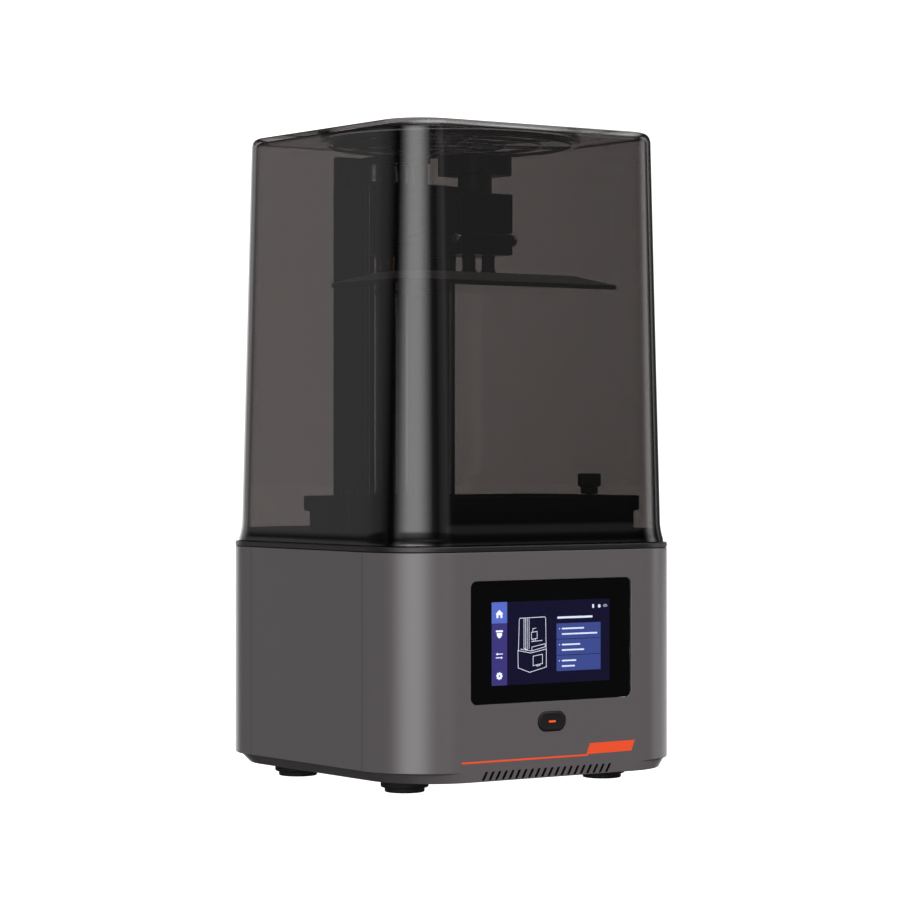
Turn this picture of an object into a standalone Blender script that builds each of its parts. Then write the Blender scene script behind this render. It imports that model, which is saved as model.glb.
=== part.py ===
"""Desktop resin printer: painted base, smoked lift-off cover, resin vat and a screw-driven build platform.

Metres, +Z up. The origin is at the centre of the footprint, on the surface the feet stand on.
The front, with the touch screen, faces -Y.
"""

import math

import bmesh
import bpy
from mathutils import Matrix, Vector

# ---------------------------------------------------------------- driving dimensions
GAP = 0.0003  # clearance between touching pieces

# base housing
BASE_HALF_X = 0.110
BASE_HALF_Y = 0.109
BASE_RADIUS = 0.042
BASE_BOTTOM = 0.0085
BASE_TOP = 0.1449
CHAMFER_HEIGHT = 0.006
CHAMFER_STEP = 0.0025  # small inward step above the chamfer
CHAMFER_INSET = 0.0065
WALL = 0.002
FRONT_SEAM_Y = -0.0664
REAR_SEAM_Y = 0.0599
CORNER_STEPS = 6

# deck
DECK_BOTTOM = BASE_TOP + GAP
DECK_RIM_TOP = 0.1483
DECK_TOP = 0.1503
DECK_STEP_X = 0.1046
DECK_STEP_Y = 0.1036
DECK_STEP_RADIUS = 0.0370

# cover
COVER_WALL = 0.0025
COVER_BOTTOM = DECK_RIM_TOP + GAP
COVER_TOP = 0.4031
DISH_RADIUS = 0.0805
DISH_DEPTH = 0.003

# touch screen and power button on the front
SCREEN_X, SCREEN_Z = -0.0005, 0.0910
SCREEN_W, SCREEN_H = 0.1202, 0.0730
SCREEN_RADIUS = 0.004
SCREEN_THICK = 0.0018
DISPLAY_X, DISPLAY_Z = -0.0014, 0.0903
DISPLAY_W, DISPLAY_H = 0.0878, 0.0498
BUTTON_X, BUTTON_Z = -0.0008, 0.04215
BUTTON_W, BUTTON_H = 0.0208, 0.0115
BUTTON_PROUD = 0.0006
LIGHT_BAR_W, LIGHT_BAR_H = 0.0058, 0.0013

# front vent
VENT_COUNT = 20
VENT_FIRST_X = -0.0523
VENT_PITCH = 0.00487
VENT_BOTTOM, VENT_TOP = 0.0093, 0.0143
VENT_LEAN = 0.0042
VENT_WIDTH = 0.0016

# inside the base
USB_Y, USB_Z = -0.040, 0.0440
USB_HALF_Y, USB_HALF_Z = 0.0075, 0.0037
USB_MOUTH_HALF_Y, USB_MOUTH_HALF_Z = 0.0063, 0.0025
BOARD_LOW_X, BOARD_HIGH_X = 0.038, 0.094
BOARD_LOW_Y, BOARD_HIGH_Y = -0.060, 0.046
BOARD_Z, BOARD_THICK = 0.0381, 0.0016
STANDOFF_RADIUS = 0.003
FLOOR_SLOTS, FLOOR_SLOT_PITCH, FLOOR_SLOT_WIDTH = 6, 0.009, 0.004
INLET_X, INLET_Z, INLET_RADIUS = 0.045, 0.034, 0.006
INLET_BORE = 0.0037
EXHAUST_X, EXHAUST_Z = -0.032, 0.065
GRILLE_COUNT, GRILLE_PITCH, GRILLE_HALF = 9, 0.006, 0.024
FAN_HALF = 0.030
FAN_BLADES = 7
LIGHT_FLOOR = 0.0596

# optics and vat
OPTIC_Y = -0.025
LCD_HALF_X, LCD_HALF_Y = 0.0835, 0.0485
VAT_RIM_X, VAT_RIM_Y = 0.0935, 0.0547
VAT_TUB_X, VAT_TUB_Y = 0.0889, 0.0537
VAT_BASIN_X, VAT_BASIN_Y = 0.0850, 0.0475
VAT_RIM_BOTTOM, VAT_RIM_TOP = 0.1680, 0.1773
VAT_RADIUS = 0.006
FILM_BOTTOM = 0.15055
THUMB_X = 0.092

# Z axis
COLUMN_HALF_X = 0.035
COLUMN_FRONT, COLUMN_BACK = 0.043, 0.0835
COLUMN_PLATE_FRONT = 0.0746
FLANGE = 0.003
FLANGE_TOP, COLUMN_TOP = 0.3745, 0.3945
AXIS_BOTTOM = DECK_TOP + GAP
ROD_X, ROD_Y, ROD_RADIUS = 0.0125, 0.066, 0.005
SCREW_Y, SCREW_RADIUS = 0.059, 0.004
CARRIAGE_FRONT, CARRIAGE_BACK = 0.044, 0.0736
CARRIAGE_BOTTOM, CARRIAGE_TOP = 0.3305, 0.3770
SHOE_BOTTOM, SHOE_TOP = 0.3075, 0.3185

# build platform
PLATFORM_Y = -0.0275
PLATE_X, PLATE_Y = 0.081, 0.042
PLATE_BOTTOM, PLATE_EDGE_TOP, PLATE_TOP = 0.3062, 0.3090, 0.3153
PLATE_TOP_X, PLATE_TOP_Y = 0.062, 0.023
CLAMP_HALF_X = 0.020
CLAMP_FRONT, CLAMP_BACK = -0.041, -0.0050
CLAMP_BOTTOM, CLAMP_SPLIT, CLAMP_TOP = 0.3271, 0.3406, 0.3653
ARM_TOP = 0.3718
CLAMP_SCREW_Y = -0.0385
KNOB_BOTTOM, KNOB_TOP = 0.3765, 0.3892
KNOB_RADIUS = 0.023
NECK_RADIUS = 0.0106

# feet
FOOT_X, FOOT_Y = 0.075, 0.060

FULL_TURN = 2 * math.pi


def srgb(red, green, blue):
    """A linear RGBA colour from 0-255 screen values."""
    parts = [c / 255 for c in (red, green, blue)]
    return tuple(c / 12.92 if c <= 0.04045 else ((c + 0.055) / 1.055) ** 2.4 for c in parts) + (1.0,)


FINISHES = {  # colour, roughness, metallic
    "grey_paint": (srgb(98, 94, 94), 0.45, 0.1),
    "black_plastic": (srgb(28, 27, 28), 0.45, 0.0),
    "dark_steel": (srgb(44, 44, 46), 0.40, 0.6),
    "polished_steel": (srgb(190, 190, 192), 0.15, 1.0),
    "aluminium": (srgb(168, 168, 170), 0.35, 1.0),
    "black_anodised": (srgb(34, 34, 36), 0.35, 0.5),
    "smoked_acrylic": (srgb(84, 78, 74), 0.08, 0.0),
    "screen_glass": (srgb(8, 8, 9), 0.05, 0.0),
    "display_blue": (srgb(26, 24, 60), 0.10, 0.0),
    "orange_light": (srgb(232, 77, 35), 0.30, 0.0),
    "rubber": (srgb(20, 20, 20), 0.80, 0.0),
    "brass": (srgb(196, 160, 88), 0.25, 1.0),
    "circuit_board": (srgb(22, 70, 48), 0.55, 0.0),
    "clear_film": (srgb(200, 205, 210), 0.10, 0.0),
}

parts = None
cutters = None


# ---------------------------------------------------------------- scene and materials
def clear_scene():
    for item in list(bpy.data.objects):
        bpy.data.objects.remove(item, do_unlink=True)


def make_collection(name):
    group = bpy.data.collections.new(name)
    bpy.context.scene.collection.children.link(group)
    return group


def finish(item, name):
    """Gives an object a material of its own, in one of the printer's finishes."""
    colour, roughness, metallic = FINISHES[name]
    material = bpy.data.materials.new(item.name + "_" + name)
    material.use_nodes = True
    shader = material.node_tree.nodes["Principled BSDF"]
    shader.inputs["Base Color"].default_value = colour
    shader.inputs["Roughness"].default_value = roughness
    shader.inputs["Metallic"].default_value = metallic
    item.data.materials.append(material)
    return item


# ---------------------------------------------------------------- modelling helpers
def place(mesh, name, location, group=None):
    item = bpy.data.objects.new(name, mesh)
    (group or parts).objects.link(item)
    item.location = location
    return item


def from_bmesh(bm, name, location, group=None):
    mesh = bpy.data.meshes.new(name)
    bm.to_mesh(mesh)
    bm.free()
    return place(mesh, name, location, group)


def box(name, low, high, group=None):
    """A box between two corners, with its origin at its centre."""
    low, high = Vector(low), Vector(high)
    bm = bmesh.new()
    bmesh.ops.create_cube(bm, size=1.0, matrix=Matrix.Diagonal((*(high - low), 1.0)))
    return from_bmesh(bm, name, (low + high) / 2, group)


def cylinder(name, centre, radius, depth, axis="Z", segments=24, group=None):
    turn = {"X": Matrix.Rotation(math.pi / 2, 4, "Y"), "Y": Matrix.Rotation(math.pi / 2, 4, "X")}
    bm = bmesh.new()
    bmesh.ops.create_cone(
        bm, cap_ends=True, segments=segments, radius1=radius, radius2=radius, depth=depth,
        matrix=turn.get(axis, Matrix.Identity(4)),
    )
    item = from_bmesh(bm, name, centre, group)
    smooth(item)
    return item


def smooth(item, angle=math.radians(35)):
    item.data.shade_smooth()
    item.data.set_sharp_from_angle(angle=angle)


def arc(centre_x, centre_y, radius, start, end, steps):
    """Points along an arc, both ends included, angles in degrees."""
    points = []
    for i in range(steps + 1):
        angle = math.radians(start + (end - start) * i / steps)
        points.append((centre_x + radius * math.cos(angle), centre_y + radius * math.sin(angle)))
    return points


def rounded(half_x, half_y, radius, steps=CORNER_STEPS, centre=(0.0, 0.0), side_steps=1):
    """A rounded rectangle, anticlockwise from its lower right corner, each side in side_steps."""
    x, y = half_x - radius, half_y - radius
    points = []
    for i, (sx, sy) in enumerate(((1, -1), (1, 1), (-1, 1), (-1, -1))):
        points += arc(sx * x, sy * y, radius, 90 * i - 90, 90 * i, steps)
        start = Vector(points[-1])
        goal = Vector([(half_x, y), (-x, half_y), (-half_x, -y), (x, -half_y)][i])
        points += [tuple(start.lerp(goal, n / side_steps)) for n in range(1, side_steps)]
    return [(px + centre[0], py + centre[1]) for px, py in points]


def circle(radius, steps=24, centre=(0.0, 0.0)):
    return arc(centre[0], centre[1], radius, 0, 360 - 360 / steps, steps - 1)


def rectangle(low_x, low_y, high_x, high_y):
    return [(low_x, low_y), (high_x, low_y), (high_x, high_y), (low_x, high_y)]


FACING = {  # how a flat outline's own X and Y lie in the world, and which way its thickness runs
    "Z": Matrix.Identity(4),
    "Y": Matrix.Rotation(math.pi / 2, 4, "X"),
    "X": Matrix(((0, 0, 1, 0), (1, 0, 0, 0), (0, 1, 0, 0), (0, 0, 0, 1))),
}


def slab(name, outlines, low, high, facing="Z", group=None):
    """An extruded outline with holes. facing Z: outline in XY; Y: outline in XZ; X: outline in YZ."""
    curve = bpy.data.curves.new(name + "_outline", "CURVE")
    curve.dimensions = "2D"
    curve.fill_mode = "BOTH"
    curve.extrude = (high - low) / 2
    for outline in outlines:
        spline = curve.splines.new("POLY")
        spline.points.add(len(outline) - 1)
        for point, (x, y) in zip(spline.points, outline):
            point.co = (x, y, 0.0, 1.0)
        spline.use_cyclic_u = True
    flat = bpy.data.objects.new(name + "_outline", curve)
    bpy.context.scene.collection.objects.link(flat)
    middle = (low + high) / 2
    flat.matrix_world = Matrix.Translation(along(facing, middle)) @ FACING[facing]
    bpy.context.view_layer.update()
    evaluated = flat.evaluated_get(bpy.context.evaluated_depsgraph_get())
    mesh = bpy.data.meshes.new_from_object(evaluated)
    mesh.name = name
    bm = bmesh.new()
    bm.from_mesh(mesh)
    bmesh.ops.remove_doubles(bm, verts=bm.verts, dist=0.00001)
    bmesh.ops.recalc_face_normals(bm, faces=bm.faces)
    bm.to_mesh(mesh)
    bm.free()
    item = place(mesh, name, (0, 0, 0), group)
    item.matrix_world = flat.matrix_world
    bpy.data.objects.remove(flat)
    bpy.data.curves.remove(curve)
    smooth(item)
    return item


def along(facing, distance):
    return {"X": (distance, 0, 0), "Y": (0, distance, 0), "Z": (0, 0, distance)}[facing]


def loft(name, rings, start_cap=True, end_cap=True, loop=True, hoop=False, location=(0, 0, 0), group=None):
    """A skin through rings of points, each anticlockwise seen from above, bottom ring first.

    loop closes each ring on itself; hoop joins the last ring to the first.
    """
    bm = bmesh.new()
    rows = [[bm.verts.new(point) for point in ring] for ring in rings]
    count = len(rings[0])
    pairs = list(zip(rows, rows[1:])) + ([(rows[-1], rows[0])] if hoop else [])
    for lower, upper in pairs:
        for i in range(count if loop else count - 1):
            j = (i + 1) % count
            bm.faces.new((lower[i], lower[j], upper[j], upper[i]))
    if not hoop and start_cap:
        bm.faces.new(list(reversed(rows[0])))
    if not hoop and end_cap:
        bm.faces.new(rows[-1])
    item = from_bmesh(bm, name, location, group)
    smooth(item)
    return item


def at_height(outline, z):
    return [(x, y, z) for x, y in outline]


def turned(name, profile, location, steps=24, group=None):
    """A body of revolution about Z. The profile runs down the outer side, as (radius, height)."""
    mesh = bpy.data.meshes.new(name)
    edges = [(i, i + 1) for i in range(len(profile) - 1)]
    mesh.from_pydata([(r, 0.0, z) for r, z in profile], edges, [])
    item = place(mesh, name, location, group)
    turn = item.modifiers.new("turn", "SCREW")
    turn.steps = turn.render_steps = steps
    turn.use_merge_vertices = True
    turn.merge_threshold = 0.00001
    turn.use_smooth_shade = True
    return item


def skin(item, thickness):
    """Gives an open surface its wall, on the inner side."""
    wall = item.modifiers.new("wall", "SOLIDIFY")
    wall.thickness = thickness
    wall.offset = -1.0
    wall.use_even_offset = True
    return item


def joined(name, items, group):
    """One mesh from several separate closed cutters."""
    bm = bmesh.new()
    for item in items:
        mesh = item.data.copy()
        mesh.transform(item.matrix_world if item.parent is None else item.matrix_local)
        bm.from_mesh(mesh)
        bpy.data.meshes.remove(mesh)
        bpy.data.objects.remove(item)
    return from_bmesh(bm, name, (0, 0, 0), group)


def combine(target, tools, operation="DIFFERENCE"):
    """Cuts or joins tools, kept as wire guides in the cutters' collection."""
    bpy.context.view_layer.update()
    for n, tool in enumerate(tools):
        tool.hide_render = True
        tool.display_type = "WIRE"
        step = target.modifiers.new(f"{operation.lower()}_{n}", "BOOLEAN")
        step.operation = operation
        step.solver = "EXACT"
        step.object = tool
    return target


def carry(pivot_name, location, items):
    """Parents a moving group to an empty on its joint's axis."""
    pivot = bpy.data.objects.new(pivot_name, None)
    parts.objects.link(pivot)
    pivot.location = location
    bpy.context.view_layer.update()
    for item in items:
        item.parent = pivot
        item.matrix_parent_inverse = pivot.matrix_world.inverted()
    return pivot


# ---------------------------------------------------------------- base housing
def base_levels():
    """Heights of the housing's skin with its half width, front, back and corner radius, bottom first."""
    crease = BASE_BOTTOM + CHAMFER_HEIGHT
    low, mid = CHAMFER_INSET, CHAMFER_STEP
    full = (BASE_HALF_X, -BASE_HALF_Y, BASE_HALF_Y, BASE_RADIUS)
    return [
        (BASE_BOTTOM, (BASE_HALF_X - low, -BASE_HALF_Y + 0.0005, BASE_HALF_Y - low, BASE_RADIUS - 0.0005)),
        (crease - 0.0004,
         (BASE_HALF_X - mid, -BASE_HALF_Y + 0.0001, BASE_HALF_Y - mid, BASE_RADIUS - 0.0003)),
        (crease, full),
        (BASE_TOP, full),
    ]


def front_path(half_x, front, back, radius):
    seam = FRONT_SEAM_Y - GAP / 2
    return (
        [(-half_x, seam)]
        + arc(-half_x + radius, front + radius, radius, 180, 270, CORNER_STEPS)
        + arc(half_x - radius, front + radius, radius, 270, 360, CORNER_STEPS)
        + [(half_x, seam)]
    )


def rear_path(half_x, front, back, radius):
    seam = REAR_SEAM_Y + GAP / 2
    return (
        [(half_x, seam)]
        + arc(half_x - radius, back - radius, radius, 0, 90, CORNER_STEPS)
        + arc(-half_x + radius, back - radius, radius, 90, 180, CORNER_STEPS)
        + [(-half_x, seam)]
    )


def left_path(half_x, front, back, radius):
    return [(-half_x, REAR_SEAM_Y - GAP / 2), (-half_x, FRONT_SEAM_Y + GAP / 2)]


def right_path(half_x, front, back, radius):
    return [(half_x, FRONT_SEAM_Y + GAP / 2), (half_x, REAR_SEAM_Y - GAP / 2)]


def housing_panel(name, path):
    rings = [at_height(path(*sizes), z) for z, sizes in base_levels()]
    item = loft(name, rings, start_cap=False, end_cap=False, loop=False)
    return skin(finish(item, "grey_paint"), WALL)


def pill(width, height, centre, steps=8):
    radius = height / 2
    x, z = width / 2 - radius, 0.0
    outline = arc(x, z, radius, -90, 90, steps) + arc(-x, z, radius, 90, 270, steps)
    return [(px + centre[0], pz + centre[1]) for px, pz in outline]


def slanted_slots(name, first_x, count, pitch, low, high, lean, width, y_low, y_high):
    """Leaning slots through a wall that faces Y."""
    items = []
    for n in range(count):
        x = first_x + n * pitch
        outline = [
            (x - width / 2, low), (x + width / 2, low),
            (x + width / 2 + lean, high), (x - width / 2 + lean, high),
        ]
        items.append(slab(f"{name}_{n}", [outline], y_low, y_high, "Y", cutters))
    bpy.context.view_layer.update()
    return joined(name, items, cutters)


def make_front_shell():
    shell = housing_panel("base_front_shell", front_path)
    inner, outer = -BASE_HALF_Y - 0.002, -BASE_HALF_Y + 0.006
    window = rounded(
        SCREEN_W / 2 + GAP, SCREEN_H / 2 + GAP, SCREEN_RADIUS + GAP, 3, (SCREEN_X, SCREEN_Z)
    )
    button = pill(BUTTON_W + 2 * GAP, BUTTON_H + 2 * GAP, (BUTTON_X, BUTTON_Z))
    combine(shell, [
        slab("screen_cut", [window], inner, outer, "Y", cutters),
        slab("button_cut", [button], inner, outer, "Y", cutters),
        slanted_slots(
            "vent_cut", VENT_FIRST_X, VENT_COUNT, VENT_PITCH,
            VENT_BOTTOM, VENT_TOP, VENT_LEAN, VENT_WIDTH, inner, outer,
        ),
    ])


def make_side_panels():
    housing_panel("side_panel_left", left_path)
    right = housing_panel("side_panel_right", right_path)
    low = (BASE_HALF_X - 0.006, USB_Y - USB_HALF_Y - GAP, USB_Z - USB_HALF_Z - GAP)
    high = (BASE_HALF_X + 0.002, USB_Y + USB_HALF_Y + GAP, USB_Z + USB_HALF_Z + GAP)
    combine(right, [box("usb_cut", low, high, cutters)])


def make_rear_shell():
    shell = housing_panel("base_rear_shell", rear_path)
    inner, outer = BASE_HALF_Y - 0.006, BASE_HALF_Y + 0.002
    combine(shell, [
        slanted_slots(
            "exhaust_cut", EXHAUST_X - 0.0262, GRILLE_COUNT, GRILLE_PITCH,
            EXHAUST_Z - GRILLE_HALF, EXHAUST_Z + GRILLE_HALF, 0.0045, 0.0028, inner, outer,
        ),
        cylinder("inlet_cut", (INLET_X, BASE_HALF_Y - 0.002, INLET_Z), INLET_RADIUS + GAP, 0.008, "Y",
                 group=cutters),
    ])


def make_base_plate():
    outline = rounded(0.1005, 0.1025, 0.0385, centre=(0.0, -0.003))
    plate = slab("base_plate", [outline], BASE_BOTTOM, BASE_BOTTOM + WALL)
    finish(plate, "dark_steel")
    first_y = OPTIC_Y - FLOOR_SLOT_PITCH * (FLOOR_SLOTS - 1) / 2 + 0.002 - FLOOR_SLOT_WIDTH / 2
    slots = []
    for n in range(FLOOR_SLOTS):
        y = first_y + FLOOR_SLOT_PITCH * n
        slots.append(box(f"floor_slot_{n}", (-0.022, y - FLOOR_SLOT_WIDTH / 2, 0.0),
                         (0.022, y + FLOOR_SLOT_WIDTH / 2, 0.02), cutters))
    low, high = BASE_BOTTOM + 0.001, BOARD_Z - GAP
    corners = [(x, y) for x in (BOARD_LOW_X + 0.006, BOARD_HIGH_X - 0.006)
               for y in (BOARD_LOW_Y + 0.006, BOARD_HIGH_Y - 0.006)]
    posts = [
        cylinder(f"standoff_{n}", (x, y, (low + high) / 2), STANDOFF_RADIUS, high - low,
                 segments=12, group=cutters)
        for n, (x, y) in enumerate(corners)
    ]
    bpy.context.view_layer.update()
    combine(plate, [joined("standoffs", posts, cutters)], "UNION")
    combine(plate, [joined("floor_slots", slots, cutters)])


def make_feet():
    for side, x in (("left", -FOOT_X), ("right", FOOT_X)):
        for end, y in (("front", -FOOT_Y), ("rear", FOOT_Y)):
            profile = [
                (0.0, BASE_BOTTOM - GAP), (0.0145, BASE_BOTTOM - GAP), (0.0145, 0.0034), (0.0138, 0.0028),
                (0.0121, 0.0028), (0.0121, 0.0005), (0.0116, 0.0), (0.0, 0.0),
            ]
            finish(turned(f"foot_{end}_{side}", profile, (x, y, 0.0), 20), "rubber")


def make_deck():
    rings = [
        at_height(rounded(BASE_HALF_X, BASE_HALF_Y, BASE_RADIUS), DECK_BOTTOM),
        at_height(rounded(BASE_HALF_X, BASE_HALF_Y, BASE_RADIUS), DECK_RIM_TOP),
        at_height(rounded(DECK_STEP_X, DECK_STEP_Y, DECK_STEP_RADIUS), DECK_RIM_TOP),
        at_height(rounded(DECK_STEP_X, DECK_STEP_Y, DECK_STEP_RADIUS), DECK_TOP),
    ]
    deck = finish(loft("deck_plate", rings), "black_plastic")
    window = rounded(LCD_HALF_X + 0.0005, LCD_HALF_Y + 0.0005, 0.003, 2, (0.0, OPTIC_Y))
    combine(deck, [
        slab("lcd_cut", [window], DECK_BOTTOM - 0.002, DECK_TOP + 0.002, "Z", cutters),
        cylinder("deck_screw_cut", (0.0, SCREW_Y, DECK_TOP - 0.003), 0.0055, 0.012, group=cutters),
    ])


# ---------------------------------------------------------------- cover
def cover_levels():
    """Heights of the cover's outer skin with its half width, half depth and corner radius."""
    return [
        (COVER_BOTTOM, 0.1080, 0.1070, 0.0400),
        (0.1506, 0.1080, 0.1070, 0.0400),
        (0.1530, 0.1071, 0.1061, 0.0395),
        (0.1570, 0.1063, 0.1053, 0.0386),
        (0.1620, 0.1060, 0.1050, 0.0380),
        (0.3985, 0.0987, 0.0987, 0.0290),
        (0.4015, 0.0976, 0.0976, 0.0280),
        (COVER_TOP, 0.0952, 0.0952, 0.0260),
    ]


def make_cover():
    rings = [at_height(rounded(hx, hy, r, side_steps=6), z) for z, hx, hy, r in cover_levels()]
    top = rings[-1]
    for radius, z in ((DISH_RADIUS, COVER_TOP), (DISH_RADIUS - 0.001, COVER_TOP - DISH_DEPTH)):
        rings.append([(*(Vector((x, y)).normalized() * radius), z) for x, y, _ in top])
    cover = loft("cover", rings, start_cap=False)
    skin(finish(cover, "smoked_acrylic"), COVER_WALL)
    carry("cover_pivot", (0.0, 0.0, COVER_BOTTOM), [cover])


# ---------------------------------------------------------------- front controls
def make_screen():
    face = -BASE_HALF_Y
    bezel_outline = rounded(SCREEN_W / 2, SCREEN_H / 2, SCREEN_RADIUS, 3, (SCREEN_X, SCREEN_Z))
    window = rounded(DISPLAY_W / 2 + GAP, DISPLAY_H / 2 + GAP, 0.0005, 1, (DISPLAY_X, DISPLAY_Z))
    bezel = slab("screen_bezel", [bezel_outline, window], face, face + SCREEN_THICK, "Y")
    finish(bezel, "screen_glass")
    low = (DISPLAY_X - DISPLAY_W / 2, face + 0.0001, DISPLAY_Z - DISPLAY_H / 2)
    high = (DISPLAY_X + DISPLAY_W / 2, face + 0.0030, DISPLAY_Z + DISPLAY_H / 2)
    finish(box("display_panel", low, high), "display_blue")
    board = box("display_board", (-0.052, face + 0.0042, 0.0600), (0.051, face + 0.0058, 0.1220))
    finish(board, "circuit_board")


def make_button():
    face = -BASE_HALF_Y
    centre = (BUTTON_X, BUTTON_Z)
    cap = slab("power_button", [pill(BUTTON_W, BUTTON_H, centre)], face - BUTTON_PROUD, face + 0.0046, "Y")
    finish(cap, "black_plastic")
    bar_x, bar_z = BUTTON_X - 0.0001, BUTTON_Z - 0.0001
    half_x, half_z = LIGHT_BAR_W / 2, LIGHT_BAR_H / 2
    pocket_low = (bar_x - half_x - GAP, face - 0.004, bar_z - half_z - GAP)
    pocket_high = (bar_x + half_x + GAP, face + 0.0010 + GAP, bar_z + half_z + GAP)
    combine(cap, [box("light_pocket", pocket_low, pocket_high, cutters)])
    light_low = (bar_x - half_x, face - BUTTON_PROUD, bar_z - half_z)
    light = box("power_button_light", light_low, (bar_x + half_x, face + 0.0010, bar_z + half_z))
    finish(light, "orange_light")
    switch = box("button_switch", (BUTTON_X - 0.006, face + 0.0062, BUTTON_Z - 0.006),
                 (BUTTON_X + 0.006, face + 0.0100, BUTTON_Z + 0.006))
    finish(switch, "dark_steel")
    carry("power_button_pivot", (BUTTON_X, face, BUTTON_Z), [cap, light])


# ---------------------------------------------------------------- inside the base
def make_boards():
    board = box("mainboard", (BOARD_LOW_X, BOARD_LOW_Y, BOARD_Z),
                (BOARD_HIGH_X, BOARD_HIGH_Y, BOARD_Z + BOARD_THICK))
    finish(board, "circuit_board")
    chips = [
        box("chip_a", (0.050, -0.012, BOARD_Z + 0.001), (0.066, 0.004, BOARD_Z + 0.0034), cutters),
        box("chip_b", (0.050, 0.014, BOARD_Z + 0.001), (0.062, 0.026, BOARD_Z + 0.0076), cutters),
        box("chip_c", (0.076, 0.010, BOARD_Z + 0.001), (0.088, 0.034, BOARD_Z + 0.0096), cutters),
    ]
    bpy.context.view_layer.update()
    combine(board, [joined("chips", chips, cutters)], "UNION")
    port = box("usb_port", (BASE_HALF_X - 0.014, USB_Y - USB_HALF_Y, USB_Z - USB_HALF_Z),
               (BASE_HALF_X - 0.0001, USB_Y + USB_HALF_Y, USB_Z + USB_HALF_Z))
    finish(port, "polished_steel")
    mouth = box("usb_mouth", (BASE_HALF_X - 0.0125, USB_Y - USB_MOUTH_HALF_Y, USB_Z - USB_MOUTH_HALF_Z),
                (BASE_HALF_X + 0.002, USB_Y + USB_MOUTH_HALF_Y, USB_Z + USB_MOUTH_HALF_Z), cutters)
    combine(port, [mouth])


def make_power_inlet():
    centre_y = BASE_HALF_Y + BUTTON_PROUD - 0.008
    inlet = cylinder("power_inlet", (INLET_X, centre_y, INLET_Z), INLET_RADIUS, 0.016, "Y")
    finish(inlet, "black_plastic")
    mouth = (INLET_X, BASE_HALF_Y - 0.004, INLET_Z)
    bore = cylinder("inlet_bore", mouth, INLET_BORE, 0.016, "Y", 16, cutters)
    combine(inlet, [bore])


def make_fan(prefix, centre, facing, depth, blades):
    """A square axial fan; its frame stays, its rotor spins about the facing axis."""
    cx, cy, cz = centre
    turn = Matrix.Translation(centre) @ FACING[facing]
    frame = slab(f"{prefix}_frame", [rounded(FAN_HALF, FAN_HALF, 0.003, 2)], -depth / 2, depth / 2)
    well = cylinder(f"{prefix}_well", (0, 0, 0.002), FAN_HALF - 0.002, depth, segments=28, group=cutters)
    sectors = []
    for n in range(4):
        start, end = 90 * n + 8, 90 * n + 82
        outline = arc(0, 0, FAN_HALF - 0.003, start, end, 6) + arc(0, 0, 0.012, end, start, 3)
        sectors.append(slab(f"{prefix}_sector_{n}", [outline], -depth, 0.0, "Z", cutters))
    bpy.context.view_layer.update()
    grid = joined(f"{prefix}_sectors", sectors, cutters)
    hub = cylinder(f"{prefix}_rotor", (0, 0, 0), 0.0115, depth - 0.004, segments=20)
    vanes = []
    for n in range(blades):
        vane = box(f"{prefix}_vane_{n}", (0.010, -0.0012, -0.0035), (0.0262, 0.0002, 0.0035), cutters)
        around = Matrix.Rotation(FULL_TURN * n / blades, 4, "Z")
        pitch = Matrix.Rotation(math.radians(35), 4, "X")
        vane.matrix_world = around @ Matrix.Translation(vane.location) @ pitch
        vanes.append(vane)
    bpy.context.view_layer.update()
    ring = joined(f"{prefix}_vanes", vanes, cutters)
    combine(frame, [well, grid])
    combine(hub, [ring], "UNION")
    lift = Matrix.Translation((0, 0, 0.0012))
    for item in (frame, well, grid):
        item.matrix_world = turn @ item.matrix_world
    for item in (hub, ring):
        item.matrix_world = turn @ lift @ item.matrix_world
    finish(frame, "black_plastic")
    finish(hub, "black_plastic")
    bpy.context.view_layer.update()


def make_light_source():
    rings = [
        at_height(rounded(0.030, 0.024, 0.002, 2), LIGHT_FLOOR),
        at_height(rounded(0.0815, 0.0470, 0.002, 2), 0.1455),
    ]
    housing = loft("light_housing", rings, start_cap=False, end_cap=False, location=(0, OPTIC_Y, 0))
    skin(finish(housing, "black_plastic"), 0.0015)
    lens = slab("light_lens", [rounded(0.071, 0.0405, 0.002, 2, (0, OPTIC_Y))], 0.1360, 0.1385)
    finish(lens, "clear_film")
    board = box("light_board", (-0.028, OPTIC_Y - 0.022, 0.0577), (0.028, OPTIC_Y + 0.022, 0.0593))
    finish(board, "aluminium")
    lcd = slab("exposure_lcd", [rounded(LCD_HALF_X, LCD_HALF_Y, 0.0025, 2, (0, OPTIC_Y))], 0.1465, 0.1501)
    finish(lcd, "screen_glass")
    make_heat_sink()


def make_heat_sink():
    """A comb of fins under the light board."""
    half, base, floor, top = 0.030, 0.0524, 0.0324, 0.0574
    fins, thick = 8, 0.0022
    pitch = (2 * half - thick) / (fins - 1)
    outline = [(half, top), (-half, top)]
    for n in range(fins):
        x = -half + n * pitch
        outline += [(x, floor), (x + thick, floor)]
        if n < fins - 1:
            outline += [(x + thick, base), (x + pitch, base)]
    sink = slab("heat_sink", [outline], OPTIC_Y - 0.026, OPTIC_Y + 0.026, "Y")
    finish(sink, "aluminium")


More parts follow.
